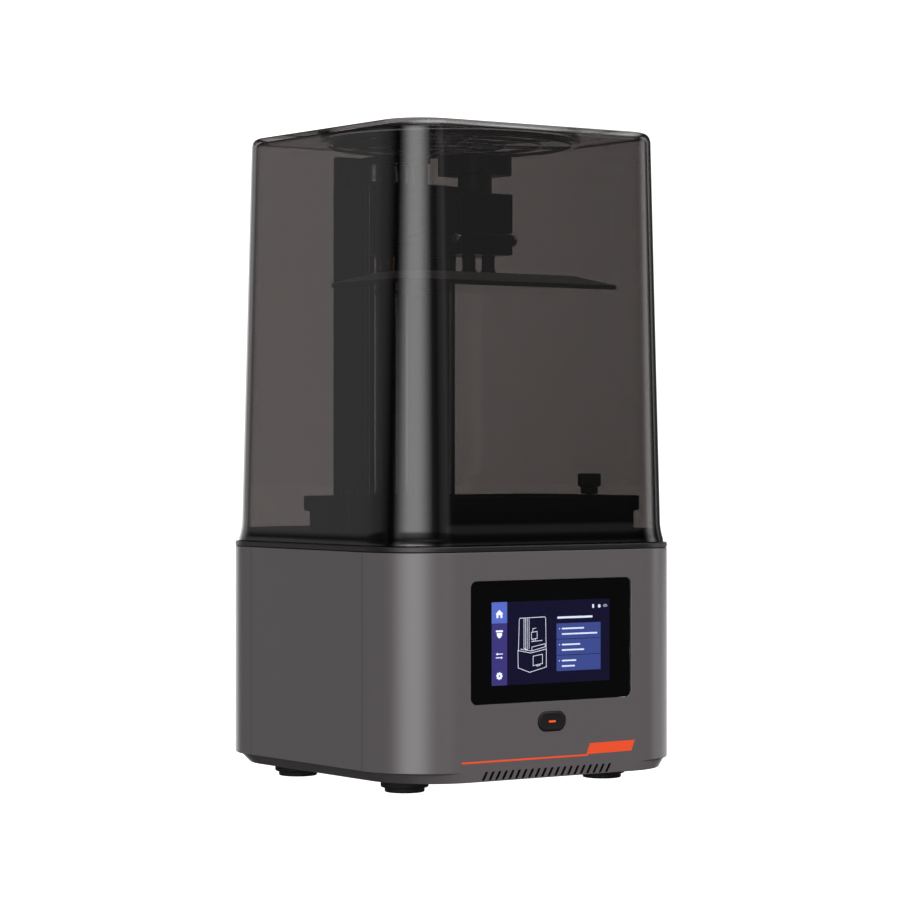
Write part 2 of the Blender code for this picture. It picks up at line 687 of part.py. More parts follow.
# ---------------------------------------------------------------- vat
def make_vat():
    def ring(half_x, half_y, radius, z):
        return at_height(rounded(half_x, half_y, radius, 4, (0.0, OPTIC_Y)), z)

    bottom = FILM_BOTTOM + 0.0025
    rings = [
        ring(VAT_TUB_X, VAT_TUB_Y, VAT_RADIUS, bottom),
        ring(VAT_TUB_X, VAT_TUB_Y, VAT_RADIUS, VAT_RIM_BOTTOM),
        ring(VAT_RIM_X, VAT_RIM_Y, VAT_RADIUS + 0.002, VAT_RIM_BOTTOM + 0.0002),
        ring(VAT_RIM_X, VAT_RIM_Y, VAT_RADIUS + 0.002, VAT_RIM_TOP),
        ring(VAT_BASIN_X, VAT_BASIN_Y, VAT_RADIUS, VAT_RIM_TOP),
        ring(VAT_BASIN_X, VAT_BASIN_Y, VAT_RADIUS, bottom),
    ]
    vat = finish(loft("vat_body", rings, hoop=True), "black_anodised")
    notches = [
        box(f"notch_{n}", (min(x, x + 0.008 * side), OPTIC_Y - 0.003, VAT_RIM_BOTTOM - 0.002),
            (max(x, x + 0.008 * side), OPTIC_Y + 0.003, VAT_RIM_TOP + 0.002), cutters)
        for n, (side, x) in enumerate(((-1, -0.0892), (1, 0.0892)))
    ]
    bpy.context.view_layer.update()
    combine(vat, [joined("vat_notches", notches, cutters)])
    frame = slab("vat_film_frame", [
        rounded(VAT_TUB_X, VAT_TUB_Y, VAT_RADIUS, 4, (0, OPTIC_Y)),
        rounded(VAT_BASIN_X, VAT_BASIN_Y, VAT_RADIUS, 4, (0, OPTIC_Y)),
    ], FILM_BOTTOM + 0.0001, bottom - GAP)
    finish(frame, "aluminium")
    film = slab("vat_film", [rounded(VAT_BASIN_X - GAP, VAT_BASIN_Y - GAP, VAT_RADIUS, 4, (0, OPTIC_Y))],
                FILM_BOTTOM, FILM_BOTTOM + 0.0003)
    finish(film, "clear_film")
    cap_top, cap_bottom = 0.1907, 0.1824
    profile = [
        (0.0, cap_top), (0.0068, cap_top), (0.0075, cap_top - 0.0007), (0.0075, cap_bottom),
        (0.0055, cap_bottom - 0.0004), (0.0055, VAT_RIM_TOP + GAP), (0.0023, VAT_RIM_TOP + GAP),
        (0.0023, AXIS_BOTTOM), (0.0, AXIS_BOTTOM),
    ]
    for side, x in (("left", -THUMB_X), ("right", THUMB_X)):
        lowered = [(r, z - VAT_RIM_TOP) for r, z in profile]
        screw = turned(f"vat_thumbscrew_{side}", lowered, (x, OPTIC_Y, VAT_RIM_TOP), 18)
        finish(screw, "black_plastic")


# ---------------------------------------------------------------- Z axis
def make_column():
    x, flange = COLUMN_HALF_X, FLANGE
    outline = [
        (-x, COLUMN_FRONT), (-x + flange, COLUMN_FRONT), (-x + flange, COLUMN_PLATE_FRONT),
        (x - flange, COLUMN_PLATE_FRONT), (x - flange, COLUMN_FRONT), (x, COLUMN_FRONT),
        (x, COLUMN_BACK), (-x, COLUMN_BACK),
    ]
    column = finish(slab("z_column", [outline], AXIS_BOTTOM, FLANGE_TOP), "black_anodised")
    top = box("column_head", (-x + 0.0001, COLUMN_PLATE_FRONT + 0.0001, FLANGE_TOP - 0.010),
              (x - 0.0001, COLUMN_BACK - 0.0001, COLUMN_TOP), cutters)
    combine(column, [top], "UNION")
    bearing_hole = circle(0.0083, centre=(0.0, SCREW_Y))
    plate_outline = rectangle(-0.0185, 0.046, 0.0185, COLUMN_PLATE_FRONT - GAP)
    plate = slab("top_bearing_plate", [plate_outline, bearing_hole], COLUMN_TOP - 0.004, COLUMN_TOP)
    finish(plate, "black_anodised")
    bearing = slab("top_bearing", [circle(0.0080, centre=(0, SCREW_Y)), circle(0.0043, 16, (0, SCREW_Y))],
                   COLUMN_TOP - 0.0038, COLUMN_TOP - 0.0002)
    finish(bearing, "polished_steel")
    for side, rod_x in (("left", -ROD_X), ("right", ROD_X)):
        low, high = AXIS_BOTTOM, COLUMN_TOP - 0.004 - GAP
        middle = (rod_x, ROD_Y, (low + high) / 2)
        rod = cylinder(f"guide_rod_{side}", middle, ROD_RADIUS, high - low, segments=20)
        finish(rod, "polished_steel")
    switch = box("limit_switch", (-COLUMN_HALF_X + FLANGE + GAP, 0.050, AXIS_BOTTOM + 0.002),
                 (-0.0285, 0.062, 0.165))
    finish(switch, "black_plastic")


def make_drive():
    motor = box("stepper_motor", (-0.021, SCREW_Y - 0.021, 0.058), (0.021, SCREW_Y + 0.021, 0.100))
    finish(motor, "dark_steel")
    bevel = motor.modifiers.new("corners", "BEVEL")
    bevel.width = 0.003
    bevel.segments = 1
    bracket = slab("motor_bracket", [
        rectangle(-0.023, SCREW_Y - 0.0225, 0.023, SCREW_Y + 0.0225),
        rectangle(-0.0205, SCREW_Y - 0.020, 0.0205, SCREW_Y + 0.020),
    ], 0.1003, DECK_BOTTOM - GAP)
    finish(bracket, "aluminium")
    shaft = cylinder("motor_shaft", (0, SCREW_Y, 0.109), 0.0025, 0.0174, segments=16)
    finish(shaft, "polished_steel")
    coupler = slab("screw_coupler", [circle(0.0095, 20, (0, SCREW_Y)), circle(0.0043, 16, (0, SCREW_Y))],
                   0.105, 0.130)
    finish(coupler, "aluminium")
    low, high = 0.1182, COLUMN_TOP - 0.001
    screw = cylinder("lead_screw", (0, SCREW_Y, (low + high) / 2), SCREW_RADIUS, high - low, segments=18)
    finish(screw, "polished_steel")
    carry("lead_screw_pivot", (0, SCREW_Y, low), [shaft, coupler, screw])


def make_carriage():
    rod_holes = [circle(ROD_RADIUS + 0.0004, 20, (x, ROD_Y)) for x in (-ROD_X, ROD_X)]
    screw_hole = circle(SCREW_RADIUS + 0.0005, 18, (0.0, SCREW_Y))
    body_outline = rectangle(-0.030, CARRIAGE_FRONT, 0.030, CARRIAGE_BACK)
    carriage = slab("carriage", [body_outline, *rod_holes, screw_hole], CARRIAGE_BOTTOM, CARRIAGE_TOP)
    finish(carriage, "black_anodised")
    web = box("carriage_web", (-0.008, CARRIAGE_FRONT + 0.0001, SHOE_TOP - 0.002),
              (0.008, CARRIAGE_FRONT + 0.0065, CARRIAGE_BOTTOM + 0.002), cutters)
    shoe_outline = rectangle(-0.027, CARRIAGE_FRONT, 0.027, CARRIAGE_BACK)
    shoe = slab("carriage_shoe", [shoe_outline, *rod_holes, screw_hole], SHOE_BOTTOM, SHOE_TOP, "Z", cutters)
    combine(carriage, [web, shoe], "UNION")
    nut_bore = circle(SCREW_RADIUS + 0.0004, 18, (0, SCREW_Y))
    nut = slab("lead_nut", [circle(0.0075, 20, (0, SCREW_Y)), nut_bore],
               SHOE_TOP + GAP, CARRIAGE_BOTTOM - GAP)
    finish(nut, "brass")
    arm = make_arm()
    carry("z_travel_pivot", (0, SCREW_Y, CARRIAGE_BOTTOM), [carriage, nut, arm, *make_platform()])


def make_arm():
    back, front = CARRIAGE_FRONT - GAP, CLAMP_BACK + GAP
    outline = [(front, 0.3480), (front + 0.008, 0.3440), (back, 0.3380), (back, ARM_TOP), (front, ARM_TOP)]
    return finish(slab("platform_arm", [outline], -0.016, 0.016, "X"), "black_anodised")


# ---------------------------------------------------------------- build platform
def make_platform():
    def ring(half_x, half_y, z):
        return at_height(rounded(half_x, half_y, 0.003, 3, (0.0, PLATFORM_Y)), z)

    plate = loft("build_plate", [
        ring(PLATE_X, PLATE_Y, PLATE_BOTTOM),
        ring(PLATE_X, PLATE_Y, PLATE_EDGE_TOP),
        ring(PLATE_TOP_X, PLATE_TOP_Y, PLATE_TOP),
    ])
    finish(plate, "aluminium")
    posts = []
    for n, (x, y) in enumerate((x, y) for y in (-0.0316, -0.0106) for x in (-0.00735, 0.00735)):
        low, high = PLATE_TOP + GAP, CLAMP_BOTTOM - GAP
        post = cylinder(f"platform_post_{n + 1}", (x, y, (low + high) / 2), 0.0047, high - low, segments=16)
        posts.append(finish(post, "dark_steel"))
    lower = box("clamp_lower", (-CLAMP_HALF_X, CLAMP_FRONT, CLAMP_BOTTOM),
                (CLAMP_HALF_X, CLAMP_BACK, CLAMP_SPLIT - GAP))
    upper = box("clamp_upper", (-CLAMP_HALF_X, CLAMP_FRONT, CLAMP_SPLIT),
                (CLAMP_HALF_X, CLAMP_BACK, CLAMP_TOP))
    for block in (lower, upper):
        finish(block, "black_anodised")
        edge = block.modifiers.new("edges", "BEVEL")
        edge.width = 0.0008
        edge.segments = 1
    screws = []
    for side, sign in (("left", -1), ("right", 1)):
        head_x = sign * (CLAMP_HALF_X + GAP + 0.0013)
        head = cylinder(f"clamp_screw_{side}", (head_x, CLAMP_SCREW_Y, 0.3365), 0.0035, 0.0026, "X", 16)
        screws.append(finish(head, "polished_steel"))
    return [plate, *posts, lower, upper, *screws, make_knob()]


def make_knob():
    """Four round lobes about a neck that reaches down to the clamp."""
    lobe_radius, first_lobe = 0.0088, -35
    reach = KNOB_RADIUS - lobe_radius
    outline = []
    for n in range(4):
        angle = 90 * n + first_lobe
        cx, cy = reach * math.cos(math.radians(angle)), reach * math.sin(math.radians(angle))
        outline += arc(cx, cy, lobe_radius, angle - 70, angle + 70, 6)
    knob = slab("platform_knob", [outline], 0.0, KNOB_TOP - KNOB_BOTTOM)
    neck_low = CLAMP_TOP + GAP - KNOB_BOTTOM
    neck = cylinder("knob_neck", (0, 0, (neck_low + 0.004) / 2), NECK_RADIUS, 0.004 - neck_low, group=cutters)
    crown = cylinder("knob_crown", (0, 0, KNOB_TOP - KNOB_BOTTOM - 0.002), 0.0118, 0.0055, group=cutters)
    combine(knob, [neck, crown], "UNION")
    for item in (knob, neck, crown):
        item.matrix_world = Matrix.Translation((0, PLATFORM_Y, KNOB_BOTTOM)) @ item.matrix_world
    return finish(knob, "black_plastic")


def main():
    global parts, cutters
    clear_scene()
    parts = make_collection("resin_printer")
    cutters = make_collection("cutters")
    make_front_shell()
    make_side_panels()
    make_rear_shell()
    make_base_plate()
    make_feet()
    make_deck()
    make_cover()
    make_screen()
    make_button()
    make_boards()
    make_power_inlet()
    make_fan("light_fan", (0.0, OPTIC_Y, 0.0256), "Z", 0.012, FAN_BLADES)
    make_fan("exhaust_fan", (EXHAUST_X, BASE_HALF_Y - 0.0105, EXHAUST_Z), "Y", 0.015, FAN_BLADES)
    make_light_source()
    make_vat()
    make_column()
    make_drive()
    make_carriage()
    bpy.context.view_layer.update()


main()
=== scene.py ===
"""Looks for the desktop resin printer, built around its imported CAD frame. Metres, +Z up, front towards -Y."""

import math

import bmesh
import bpy
from mathutils import Matrix, Vector


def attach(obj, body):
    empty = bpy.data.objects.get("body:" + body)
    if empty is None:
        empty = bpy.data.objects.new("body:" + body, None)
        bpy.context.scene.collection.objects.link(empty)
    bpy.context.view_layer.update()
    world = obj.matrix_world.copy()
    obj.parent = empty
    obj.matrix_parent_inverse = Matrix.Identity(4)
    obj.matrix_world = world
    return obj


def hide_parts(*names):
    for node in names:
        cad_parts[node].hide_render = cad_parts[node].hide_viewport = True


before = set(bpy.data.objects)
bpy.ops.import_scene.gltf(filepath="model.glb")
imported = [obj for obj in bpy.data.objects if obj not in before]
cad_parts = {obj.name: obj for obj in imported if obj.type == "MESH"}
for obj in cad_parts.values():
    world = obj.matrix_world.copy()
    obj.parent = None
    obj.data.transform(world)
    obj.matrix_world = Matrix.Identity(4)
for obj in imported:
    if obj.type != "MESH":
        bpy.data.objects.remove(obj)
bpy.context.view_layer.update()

MM = 0.001
TURN = 2 * math.pi
GAP = 0.0003  # between parts that fit into each other
SEAM = 0.0005  # as seen between the housing panels

# main sizes, the same as in the CAD
BASE_X, BASE_Y, BASE_R = 0.110, 0.109, 0.042
BASE_LOW, BASE_HIGH, WALL = 0.0085, 0.1449, 0.002
FRONT_SEAM, REAR_SEAM = -0.0664, 0.0599
DECK_LOW, DECK_RIM, DECK_TOP = 0.1452, 0.1483, 0.1503
COVER_LOW, COVER_HIGH, COVER_WALL = 0.1486, 0.4031, 0.0025
OPTIC_Y, SCREW_Y = -0.025, 0.059
PLATFORM_Y = -0.0275


# ---- materials
def srgb(red, green, blue):
    parts = [c / 255 for c in (red, green, blue)]
    return tuple(c / 12.92 if c <= 0.04045 else ((c + 0.055) / 1.055) ** 2.4 for c in parts) + (1.0,)


class Shader:
    """Small helper that wires nodes of one material."""

    def __init__(self, name):
        self.material = bpy.data.materials.new(name)
        self.material.use_nodes = True
        self.tree = self.material.node_tree
        self.main = self.tree.nodes["Principled BSDF"]
        self.output = self.tree.nodes["Material Output"]
        self.coordinates = None

    def node(self, kind, **values):
        item = self.tree.nodes.new("ShaderNode" + kind)
        for key, value in values.items():
            if hasattr(item, key) and key not in item.inputs:
                setattr(item, key, value)
            else:
                item.inputs[key.replace("_", " ")].default_value = value
        return item

    def link(self, source, target):
        self.tree.links.new(source, target)

    def place(self, stretch=(1, 1, 1)):
        """Object coordinates in metres, stretched along an axis for grain."""
        if self.coordinates is None:
            self.coordinates = self.node("TexCoord")
        mapping = self.node("Mapping")
        mapping.inputs["Scale"].default_value = stretch
        self.link(self.coordinates.outputs["Object"], mapping.inputs["Vector"])
        return mapping.outputs["Vector"]

    def noise(self, scale, detail, stretch=(1, 1, 1)):
        item = self.node("TexNoise", Scale=scale, Detail=detail, Roughness=0.55)
        self.link(self.place(stretch), item.inputs["Vector"])
        return item.outputs["Fac"]

    def ranged(self, value, low, high, start=0.2, end=0.8, soft=False):
        item = self.node("MapRange", From_Min=start, From_Max=end, To_Min=low, To_Max=high)
        item.interpolation_type = "SMOOTHSTEP" if soft else "LINEAR"
        self.link(value, item.inputs["Value"])
        return item.outputs["Result"]

    def blend(self, factor, first, second):
        item = self.node("Mix", data_type="RGBA")
        self.link(factor, item.inputs["Factor"])
        for value, socket in ((first, item.inputs[6]), (second, item.inputs[7])):
            if isinstance(value, tuple):
                socket.default_value = value
            else:
                self.link(value, socket)
        return item.outputs[2]

    def bump(self, height, strength, distance):
        item = self.node("Bump", Strength=strength, Distance=distance)
        self.link(height, item.inputs["Height"])
        return item.outputs["Normal"]

    def layered(self, factor, first, second):
        """Two shaders mixed by a factor."""
        item = self.node("MixShader")
        for source, socket in zip((factor, first, second), item.inputs):
            self.link(source, socket)
        return item.outputs[0]

    def sets(self, **values):
        for key, value in values.items():
            self.main.inputs[key.replace("_", " ")].default_value = value
        return self

    def drives(self, key, source):
        self.link(source, self.main.inputs[key])


def surface(name, colour, other, rough, metal, grain, grain_bump, depth, cloud, stretch=(1, 1, 1), specular=0.5):
    """A finish with fine grain in its bump, and slow clouds in its colour and roughness."""
    s = Shader(name)
    clouds = s.noise(cloud, 3.0, stretch)
    fine = s.noise(grain, 2.0, stretch)
    speckle = s.blend(s.ranged(fine, 0.0, 0.35), srgb(*colour), srgb(*other))
    s.drives("Base Color", s.blend(s.ranged(clouds, 0.0, 0.6), speckle, srgb(*other)))
    s.drives("Roughness", s.ranged(clouds, *rough))
    s.drives("Normal", s.bump(fine, grain_bump, depth))
    s.sets(Metallic=metal, Specular_IOR_Level=specular)
    return s.material


def glowing(name, colour, strength):
    """A lit part of the display: its own light under clear gloss, with a faint grid of cells."""
    s = Shader(name)
    grid = s.node("TexChecker", Scale=2600.0)
    s.link(s.place(), grid.inputs["Vector"])
    grid.inputs["Color1"].default_value = srgb(*colour)
    grid.inputs["Color2"].default_value = srgb(*(int(c * 0.93) for c in colour))
    for key in ("Base Color", "Emission Color"):
        s.drives(key, grid.outputs["Color"])
    s.sets(Emission_Strength=strength, Roughness=0.25, Specular_IOR_Level=0.2)
    return s.material


def smoked_clear(name, tint, deep, haze, haze_share, polish, slants=(0.0, 1.0)):
    """Tinted see-through sheet, denser as it is seen at a slant, with a thin haze and a polished face."""
    s = Shader(name)
    s.tree.nodes.remove(s.main)
    slant = s.node("LayerWeight", Blend=0.5).outputs["Facing"]
    smudges = s.noise(14, 4.0)
    body = s.node("BsdfTransparent")
    s.link(s.blend(s.ranged(slant, 0.0, 1.0, *slants, soft=True), tint, deep), body.inputs["Color"])
    dust = s.node("BsdfDiffuse", Color=haze)
    share = s.ranged(smudges, haze_share * 0.85, haze_share * 1.15)
    veil = s.layered(share, body.outputs[0], dust.outputs[0])
    power = s.node("Math", operation="POWER")
    s.link(slant, power.inputs[0])
    power.inputs[1].default_value = 5.0
    mirror = s.node("BsdfGlossy", Color=(1, 1, 1, 1))
    s.link(s.ranged(smudges, *polish), mirror.inputs["Roughness"])
    shine = s.layered(s.ranged(power.outputs[0], 0.04, 1.0, 0.0, 1.0), veil, mirror.outputs[0])
    s.link(shine, s.output.inputs["Surface"])
    return s.material


# name, two colours, roughness from and to, metal, fineness of the grain, strength and depth of its bump,
# fineness of the clouds, and the stretch of both
FINISHES = {
    "grey_paint": ("satin_grey_paint", (89, 85, 86), (87, 83, 84), (0.25, 0.28), 0, 1500, 0.04, 3e-5, 6),
    "black_plastic": ("moulded_black_plastic", (16, 15, 16), (11, 11, 12), (0.36, 0.46), 0, 1800, 0.16, 5e-5, 25),
    "deck_black": ("deck_black_plastic", (24, 22, 23), (18, 17, 18), (0.34, 0.44), 0, 2400, 0.1, 4e-5, 16),
    "dark_steel": ("blackened_steel", (44, 44, 46), (34, 34, 37), (0.34, 0.46), 0.7, 1100, 0.1, 5e-5, 18,
                   (1, 1, 0.06)),
    "polished_steel": ("ground_steel", (176, 176, 178), (158, 159, 162), (0.14, 0.22), 1, 1800, 0.05, 2e-5, 18,
                       (1, 1, 0.04)),
    "plate_face": ("polished_build_plate", (60, 59, 60), (52, 52, 53), (0.1, 0.15), 0.9, 2200, 0.05, 3e-5, 40),
    "plate_top": ("blasted_plate_slope", (120, 118, 118), (112, 110, 110), (0.4, 0.5), 0, 2600, 0.1, 4e-5, 30),
    # a light grey whose brightness is a painted highlight on the column's inner front edges
    "bright_trim": ("painted_highlight_column_trim", (190, 189, 188), (178, 177, 176), (0.3, 0.4), 0, 2400, 0.08, 3e-5, 30),
    "aluminium": ("blasted_aluminium", (170, 170, 172), (156, 157, 160), (0.34, 0.44), 1, 2600, 0.14, 4e-5, 30),
    "black_anodised": ("black_anodised_aluminium", (19, 19, 20), (14, 14, 15), (0.26, 0.36), 0.3, 2200, 0.1, 4e-5,
                       22),
    "vat_black": ("black_vat_finish", (6, 6, 6), (4, 4, 5), (0.45, 0.55), 0, 2200, 0.1, 4e-5, 22),
    "rubber": ("black_rubber", (22, 22, 22), (17, 17, 18), (0.75, 0.88), 0, 1300, 0.22, 6e-5, 40),
    "brass": ("turned_brass", (196, 160, 88), (180, 142, 72), (0.20, 0.30), 1, 900, 0.1, 5e-5, 18, (1, 1, 6)),
    "circuit_board": ("green_solder_mask", (20, 66, 44), (16, 54, 38), (0.35, 0.50), 0, 900, 0.1, 5e-5, 120),
    "gloss_black": ("gloss_black", (9, 9, 10), (7, 7, 8), (0.04, 0.08), 0, 300, 0.01, 1e-5, 20),
    "orange_print": ("orange_print", (232, 77, 35), (222, 70, 31), (0.42, 0.52), 0, 2000, 0.1, 5e-5, 18),
}
SPECULAR = {"vat_black": 0.05, "gloss_black": 0.45}
M = {key: surface(*row, specular=SPECULAR.get(key, 0.5)) for key, row in FINISHES.items()}
M |= {
    "smoked_acrylic": smoked_clear("smoked_acrylic", srgb(185, 182, 181), srgb(22, 21, 21),
                                   srgb(150, 146, 142), 0.0013, (0.01, 0.03), (0.50, 0.82)),
    "smoked_dark": smoked_clear("smoked_acrylic_thick", srgb(128, 125, 124), srgb(20, 19, 19),
                                srgb(150, 146, 142), 0.0015, (0.02, 0.05), (0.40, 0.75)),
    "clear_glass": smoked_clear("clear_cover_glass", srgb(246, 247, 248), srgb(240, 241, 242),
                                srgb(120, 120, 125), 0.004, (0.01, 0.04)),
    "clear_film": smoked_clear("clear_film", srgb(226, 228, 232), srgb(205, 208, 212),
                               srgb(190, 192, 196), 0.06, (0.05, 0.12)),
    "orange_glow": glowing("orange_light_guide", (240, 84, 34), 0.30),
    "ui_back": glowing("ui_navy", (19, 17, 43), 0.7),
    "ui_side": glowing("ui_side_bar", (60, 52, 116), 0.75),
    "ui_active": glowing("ui_active_tile", (84, 102, 184), 0.8),
    "ui_tile": glowing("ui_info_tile", (60, 72, 134), 0.75),
    "ui_white": glowing("ui_white", (222, 226, 240), 1.0),
    "ui_soft": glowing("ui_soft_white", (206, 210, 230), 0.95),
    "ui_line": glowing("ui_drawn_line", (214, 216, 230), 1.2),
}


# ---- outlines
def arc(cx, cy, radius, start, end, steps):
    """Points along an arc, both ends included, angles in degrees."""
    points = []
    for i in range(steps + 1):
        angle = math.radians(start + (end - start) * i / steps)
        points.append((cx + radius * math.cos(angle), cy + radius * math.sin(angle)))
    return points


def rounded(half_x, half_y, radius, steps=8, centre=(0.0, 0.0), side_steps=1):
    """A rounded rectangle, anticlockwise from its lower right corner."""
    x, y = half_x - radius, half_y - radius
    points = []
    for i, (sx, sy) in enumerate(((1, -1), (1, 1), (-1, 1), (-1, -1))):
        points += arc(sx * x, sy * y, radius, 90 * i - 90, 90 * i, steps)
        start, goal = Vector(points[-1]), Vector([(half_x, y), (-x, half_y), (-half_x, -y), (x, -half_y)][i])
        points += [tuple(start.lerp(goal, n / side_steps)) for n in range(1, side_steps)]
    return [(px + centre[0], py + centre[1]) for px, py in points]


def circle(radius, steps=40, centre=(0.0, 0.0)):
    return arc(centre[0], centre[1], radius, 0, 360 - 360 / steps, steps - 1)


def rectangle(low_x, low_y, high_x, high_y):
    return [(low_x, low_y), (high_x, low_y), (high_x, high_y), (low_x, high_y)]


def pill(width, height, centre, steps=14):
    radius = height / 2
    x = width / 2 - radius
    outline = arc(x, 0, radius, -90, 90, steps) + arc(-x, 0, radius, 90, 270, steps)
    return [(px + centre[0], pz + centre[1]) for px, pz in outline]


def level(outline, z):
    return [(x, y, z) for x, y in outline]


def upright(outline, y):
    return [(x, y, z) for x, z in outline]


# ---- solids
FACING = {
    "Z": Matrix.Identity(4),
    "Y": Matrix.Rotation(math.pi / 2, 4, "X"),
    "X": Matrix(((0, 0, 1, 0), (1, 0, 0, 0), (0, 1, 0, 0), (0, 0, 0, 1))),
}


def added(name, data):
    item = bpy.data.objects.new(name, data)
    bpy.context.scene.collection.objects.link(item)
    return item


def evaluated(item):
    bpy.context.view_layer.update()
    return bpy.data.meshes.new_from_object(item.evaluated_get(bpy.context.evaluated_depsgraph_get()))


def solid(bm, name):
    bmesh.ops.remove_doubles(bm, verts=bm.verts, dist=0.000002)
    bmesh.ops.recalc_face_normals(bm, faces=bm.faces)
    mesh = bpy.data.meshes.new(name)
    bm.to_mesh(mesh)
    bm.free()
    return added(name, mesh)


def skinned(bm, rows, flip=False):
    """Faces between neighbouring closed rows of vertices; a row that repeats one vertex makes a tip."""
    for lower, upper in zip(rows, rows[1:]):
        for quad in zip(lower, lower[1:] + lower[:1], upper[1:] + upper[:1], upper):
            corners = list(dict.fromkeys(quad))
            if len(corners) > 2:
                bm.faces.new(corners[::-1] if flip else corners)


def loft(name, rings, hoop=False):
    """A skin through closed rings; hoop joins the last to the first, and otherwise both ends are capped."""
    bm = bmesh.new()
    rows = [[bm.verts.new(point) for point in ring] for ring in rings]
    skinned(bm, rows + rows[:1] if hoop else rows)
    if not hoop:
        bm.faces.new(rows[0][::-1])
        bm.faces.new(rows[-1])
    return solid(bm, name)


def turned(name, profile, centre, steps=48, axis="Z", flutes=0, flute_depth=0.0, fluted=()):
    """A body of revolution through (radius, height) points; the points whose index is in fluted carry flutes."""
    bm = bmesh.new()
    rows = []
    for k, (radius, height) in enumerate(profile):
        if radius == 0:
            rows.append([bm.verts.new((0.0, 0.0, height))] * steps)
            continue
        row = []
        for n in range(steps):
            angle = TURN * n / steps
            r = radius - (flute_depth * (0.5 - 0.5 * math.cos(flutes * angle)) if k in fluted else 0.0)
            row.append(bm.verts.new((r * math.cos(angle), r * math.sin(angle), height)))
        rows.append(row)
    skinned(bm, rows)
    item = solid(bm, name)
    swing = {"Z": Matrix.Identity(4), "Y": Matrix.Rotation(-math.pi / 2, 4, "X")}[axis]
    item.data.transform(Matrix.Translation(centre) @ swing)
    return item


def slab(name, outlines, low, high, facing="Z"):
    """An extruded outline with holes. facing Z: outline in XY; Y: outline in XZ; X: outline in YZ."""
    curve = bpy.data.curves.new(name + "_outline", "CURVE")
    curve.dimensions = "2D"
    curve.fill_mode = "BOTH"
    curve.extrude = (high - low) / 2
    for outline in outlines:
        spline = curve.splines.new("POLY")
        spline.points.add(len(outline) - 1)
        for point, (x, y) in zip(spline.points, outline):
            point.co = (x, y, 0.0, 1.0)
        spline.use_cyclic_u = True
    flat = added(name + "_outline", curve)
    mesh = evaluated(flat)
    middle = (low + high) / 2
    shift = {"X": (middle, 0, 0), "Y": (0, middle, 0), "Z": (0, 0, middle)}[facing]
    mesh.transform(Matrix.Translation(shift) @ FACING[facing])
    bpy.data.objects.remove(flat)
    bpy.data.curves.remove(curve)
    bm = bmesh.new()
    bm.from_mesh(mesh)
    bpy.data.meshes.remove(mesh)
    return solid(bm, name)


def block(name, low, high):
    low, high = Vector(low), Vector(high)
    place = Matrix.Translation((low + high) / 2) @ Matrix.Diagonal((*(high - low), 1.0))
    bm = bmesh.new()
    bmesh.ops.create_cube(bm, size=1.0, matrix=place)
    return solid(bm, name)


def settle(item):
    """Applies the modifiers."""
    mesh = evaluated(item)
    item.modifiers.clear()
    item.data = mesh
    mesh.name = item.name
    return item


def merged(items, name=None):
    """One object from several; parts may not overlap."""
    first = items[0]
    first.name = name or first.name
    bm = bmesh.new()
    for item in items:
        bm.from_mesh(item.data)
    bm.to_mesh(first.data)
    bm.free()
    for item in items[1:]:
        bpy.data.objects.remove(item)
    return first


def combine(target, tools, operation="DIFFERENCE"):
    for tool in tools:
        step = target.modifiers.new("step", "BOOLEAN")
        step.operation, step.solver, step.object = operation, "EXACT", tool
    settle(target)
    for tool in tools:
        bpy.data.objects.remove(tool)
    return target


def bevel(item, width, segments=2, angle=30):
    step = item.modifiers.new("edges", "BEVEL")
    step.width, step.segments = width, segments
    step.limit_method, step.angle_limit = "ANGLE", math.radians(angle)
    return settle(item)


def piece(item, body, material, node=None):
    """Finishes a piece: smooth shading, material, the body it rides on and the CAD node it stands for."""
    item.data.shade_smooth()
    item.data.set_sharp_from_angle(angle=math.radians(32))
    weigh = item.modifiers.new("weighted", "WEIGHTED_NORMAL")
    weigh.keep_sharp, weigh.weight = True, 100
    settle(item)
    item.data.materials.clear()
    item.data.materials.append(M[material])
    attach(item, body)
    if node:
        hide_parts(node)
    return item


# ---- base housing
# heights of the outer skin, bottom first, with the insets of the sides and rear and of the front in millimetres
SKIN = [(z, side * MM, front * MM) for z, side, front in (
    (BASE_LOW, 7.0, 0.35), (0.0088, 6.6, 0.05), (0.0139, 2.8, 0.0), (0.01415, 2.55, 0.0), (0.0143, 2.1, 0.0),
    (0.0145, 0.55, 0.0), (0.0147, 0.2, 0.0), (0.0151, 0.0, 0.0), (0.1444, 0.0, 0.0), (0.1447, 0.1, 0.1),
    (BASE_HIGH, 0.35, 0.35),
)]
FACE = -BASE_Y
SEAM_EASE = 0.00003  # chamfer where two panels meet


def strip_path(kind, side, front, cut, steps=18):
    """One panel's line at one height; cut is the chamfer at its neighbour, and 0 on the inner face."""
    hx, yf, yr = BASE_X - side, FACE + front, BASE_Y - side
    r = BASE_R - 0.07 * side
    if kind == "front":
        seam = FRONT_SEAM - SEAM / 2
        line = arc(-hx + r, yf + r, r, 180, 270, steps) + arc(hx - r, yf + r, r, 270, 360, steps)
        return [(-hx + cut, seam), (-hx, seam - SEAM_EASE), *line, (hx, seam - SEAM_EASE), (hx - cut, seam)]
    if kind == "rear":
        seam = REAR_SEAM + SEAM / 2
        line = arc(hx - r, yr - r, r, 0, 90, steps) + arc(-hx + r, yr - r, r, 90, 180, steps)
        return [(hx - cut, seam), (hx, seam + SEAM_EASE), *line, (-hx, seam + SEAM_EASE), (-hx + cut, seam)]
    a, b = REAR_SEAM - SEAM / 2, FRONT_SEAM + SEAM / 2
    s, a, b, step = (1, b, a, -cut) if kind == "right" else (-1, a, b, cut)
    return [(s * (hx - cut), a), (s * hx, a - step), (s * hx, b + step), (s * (hx - cut), b)]


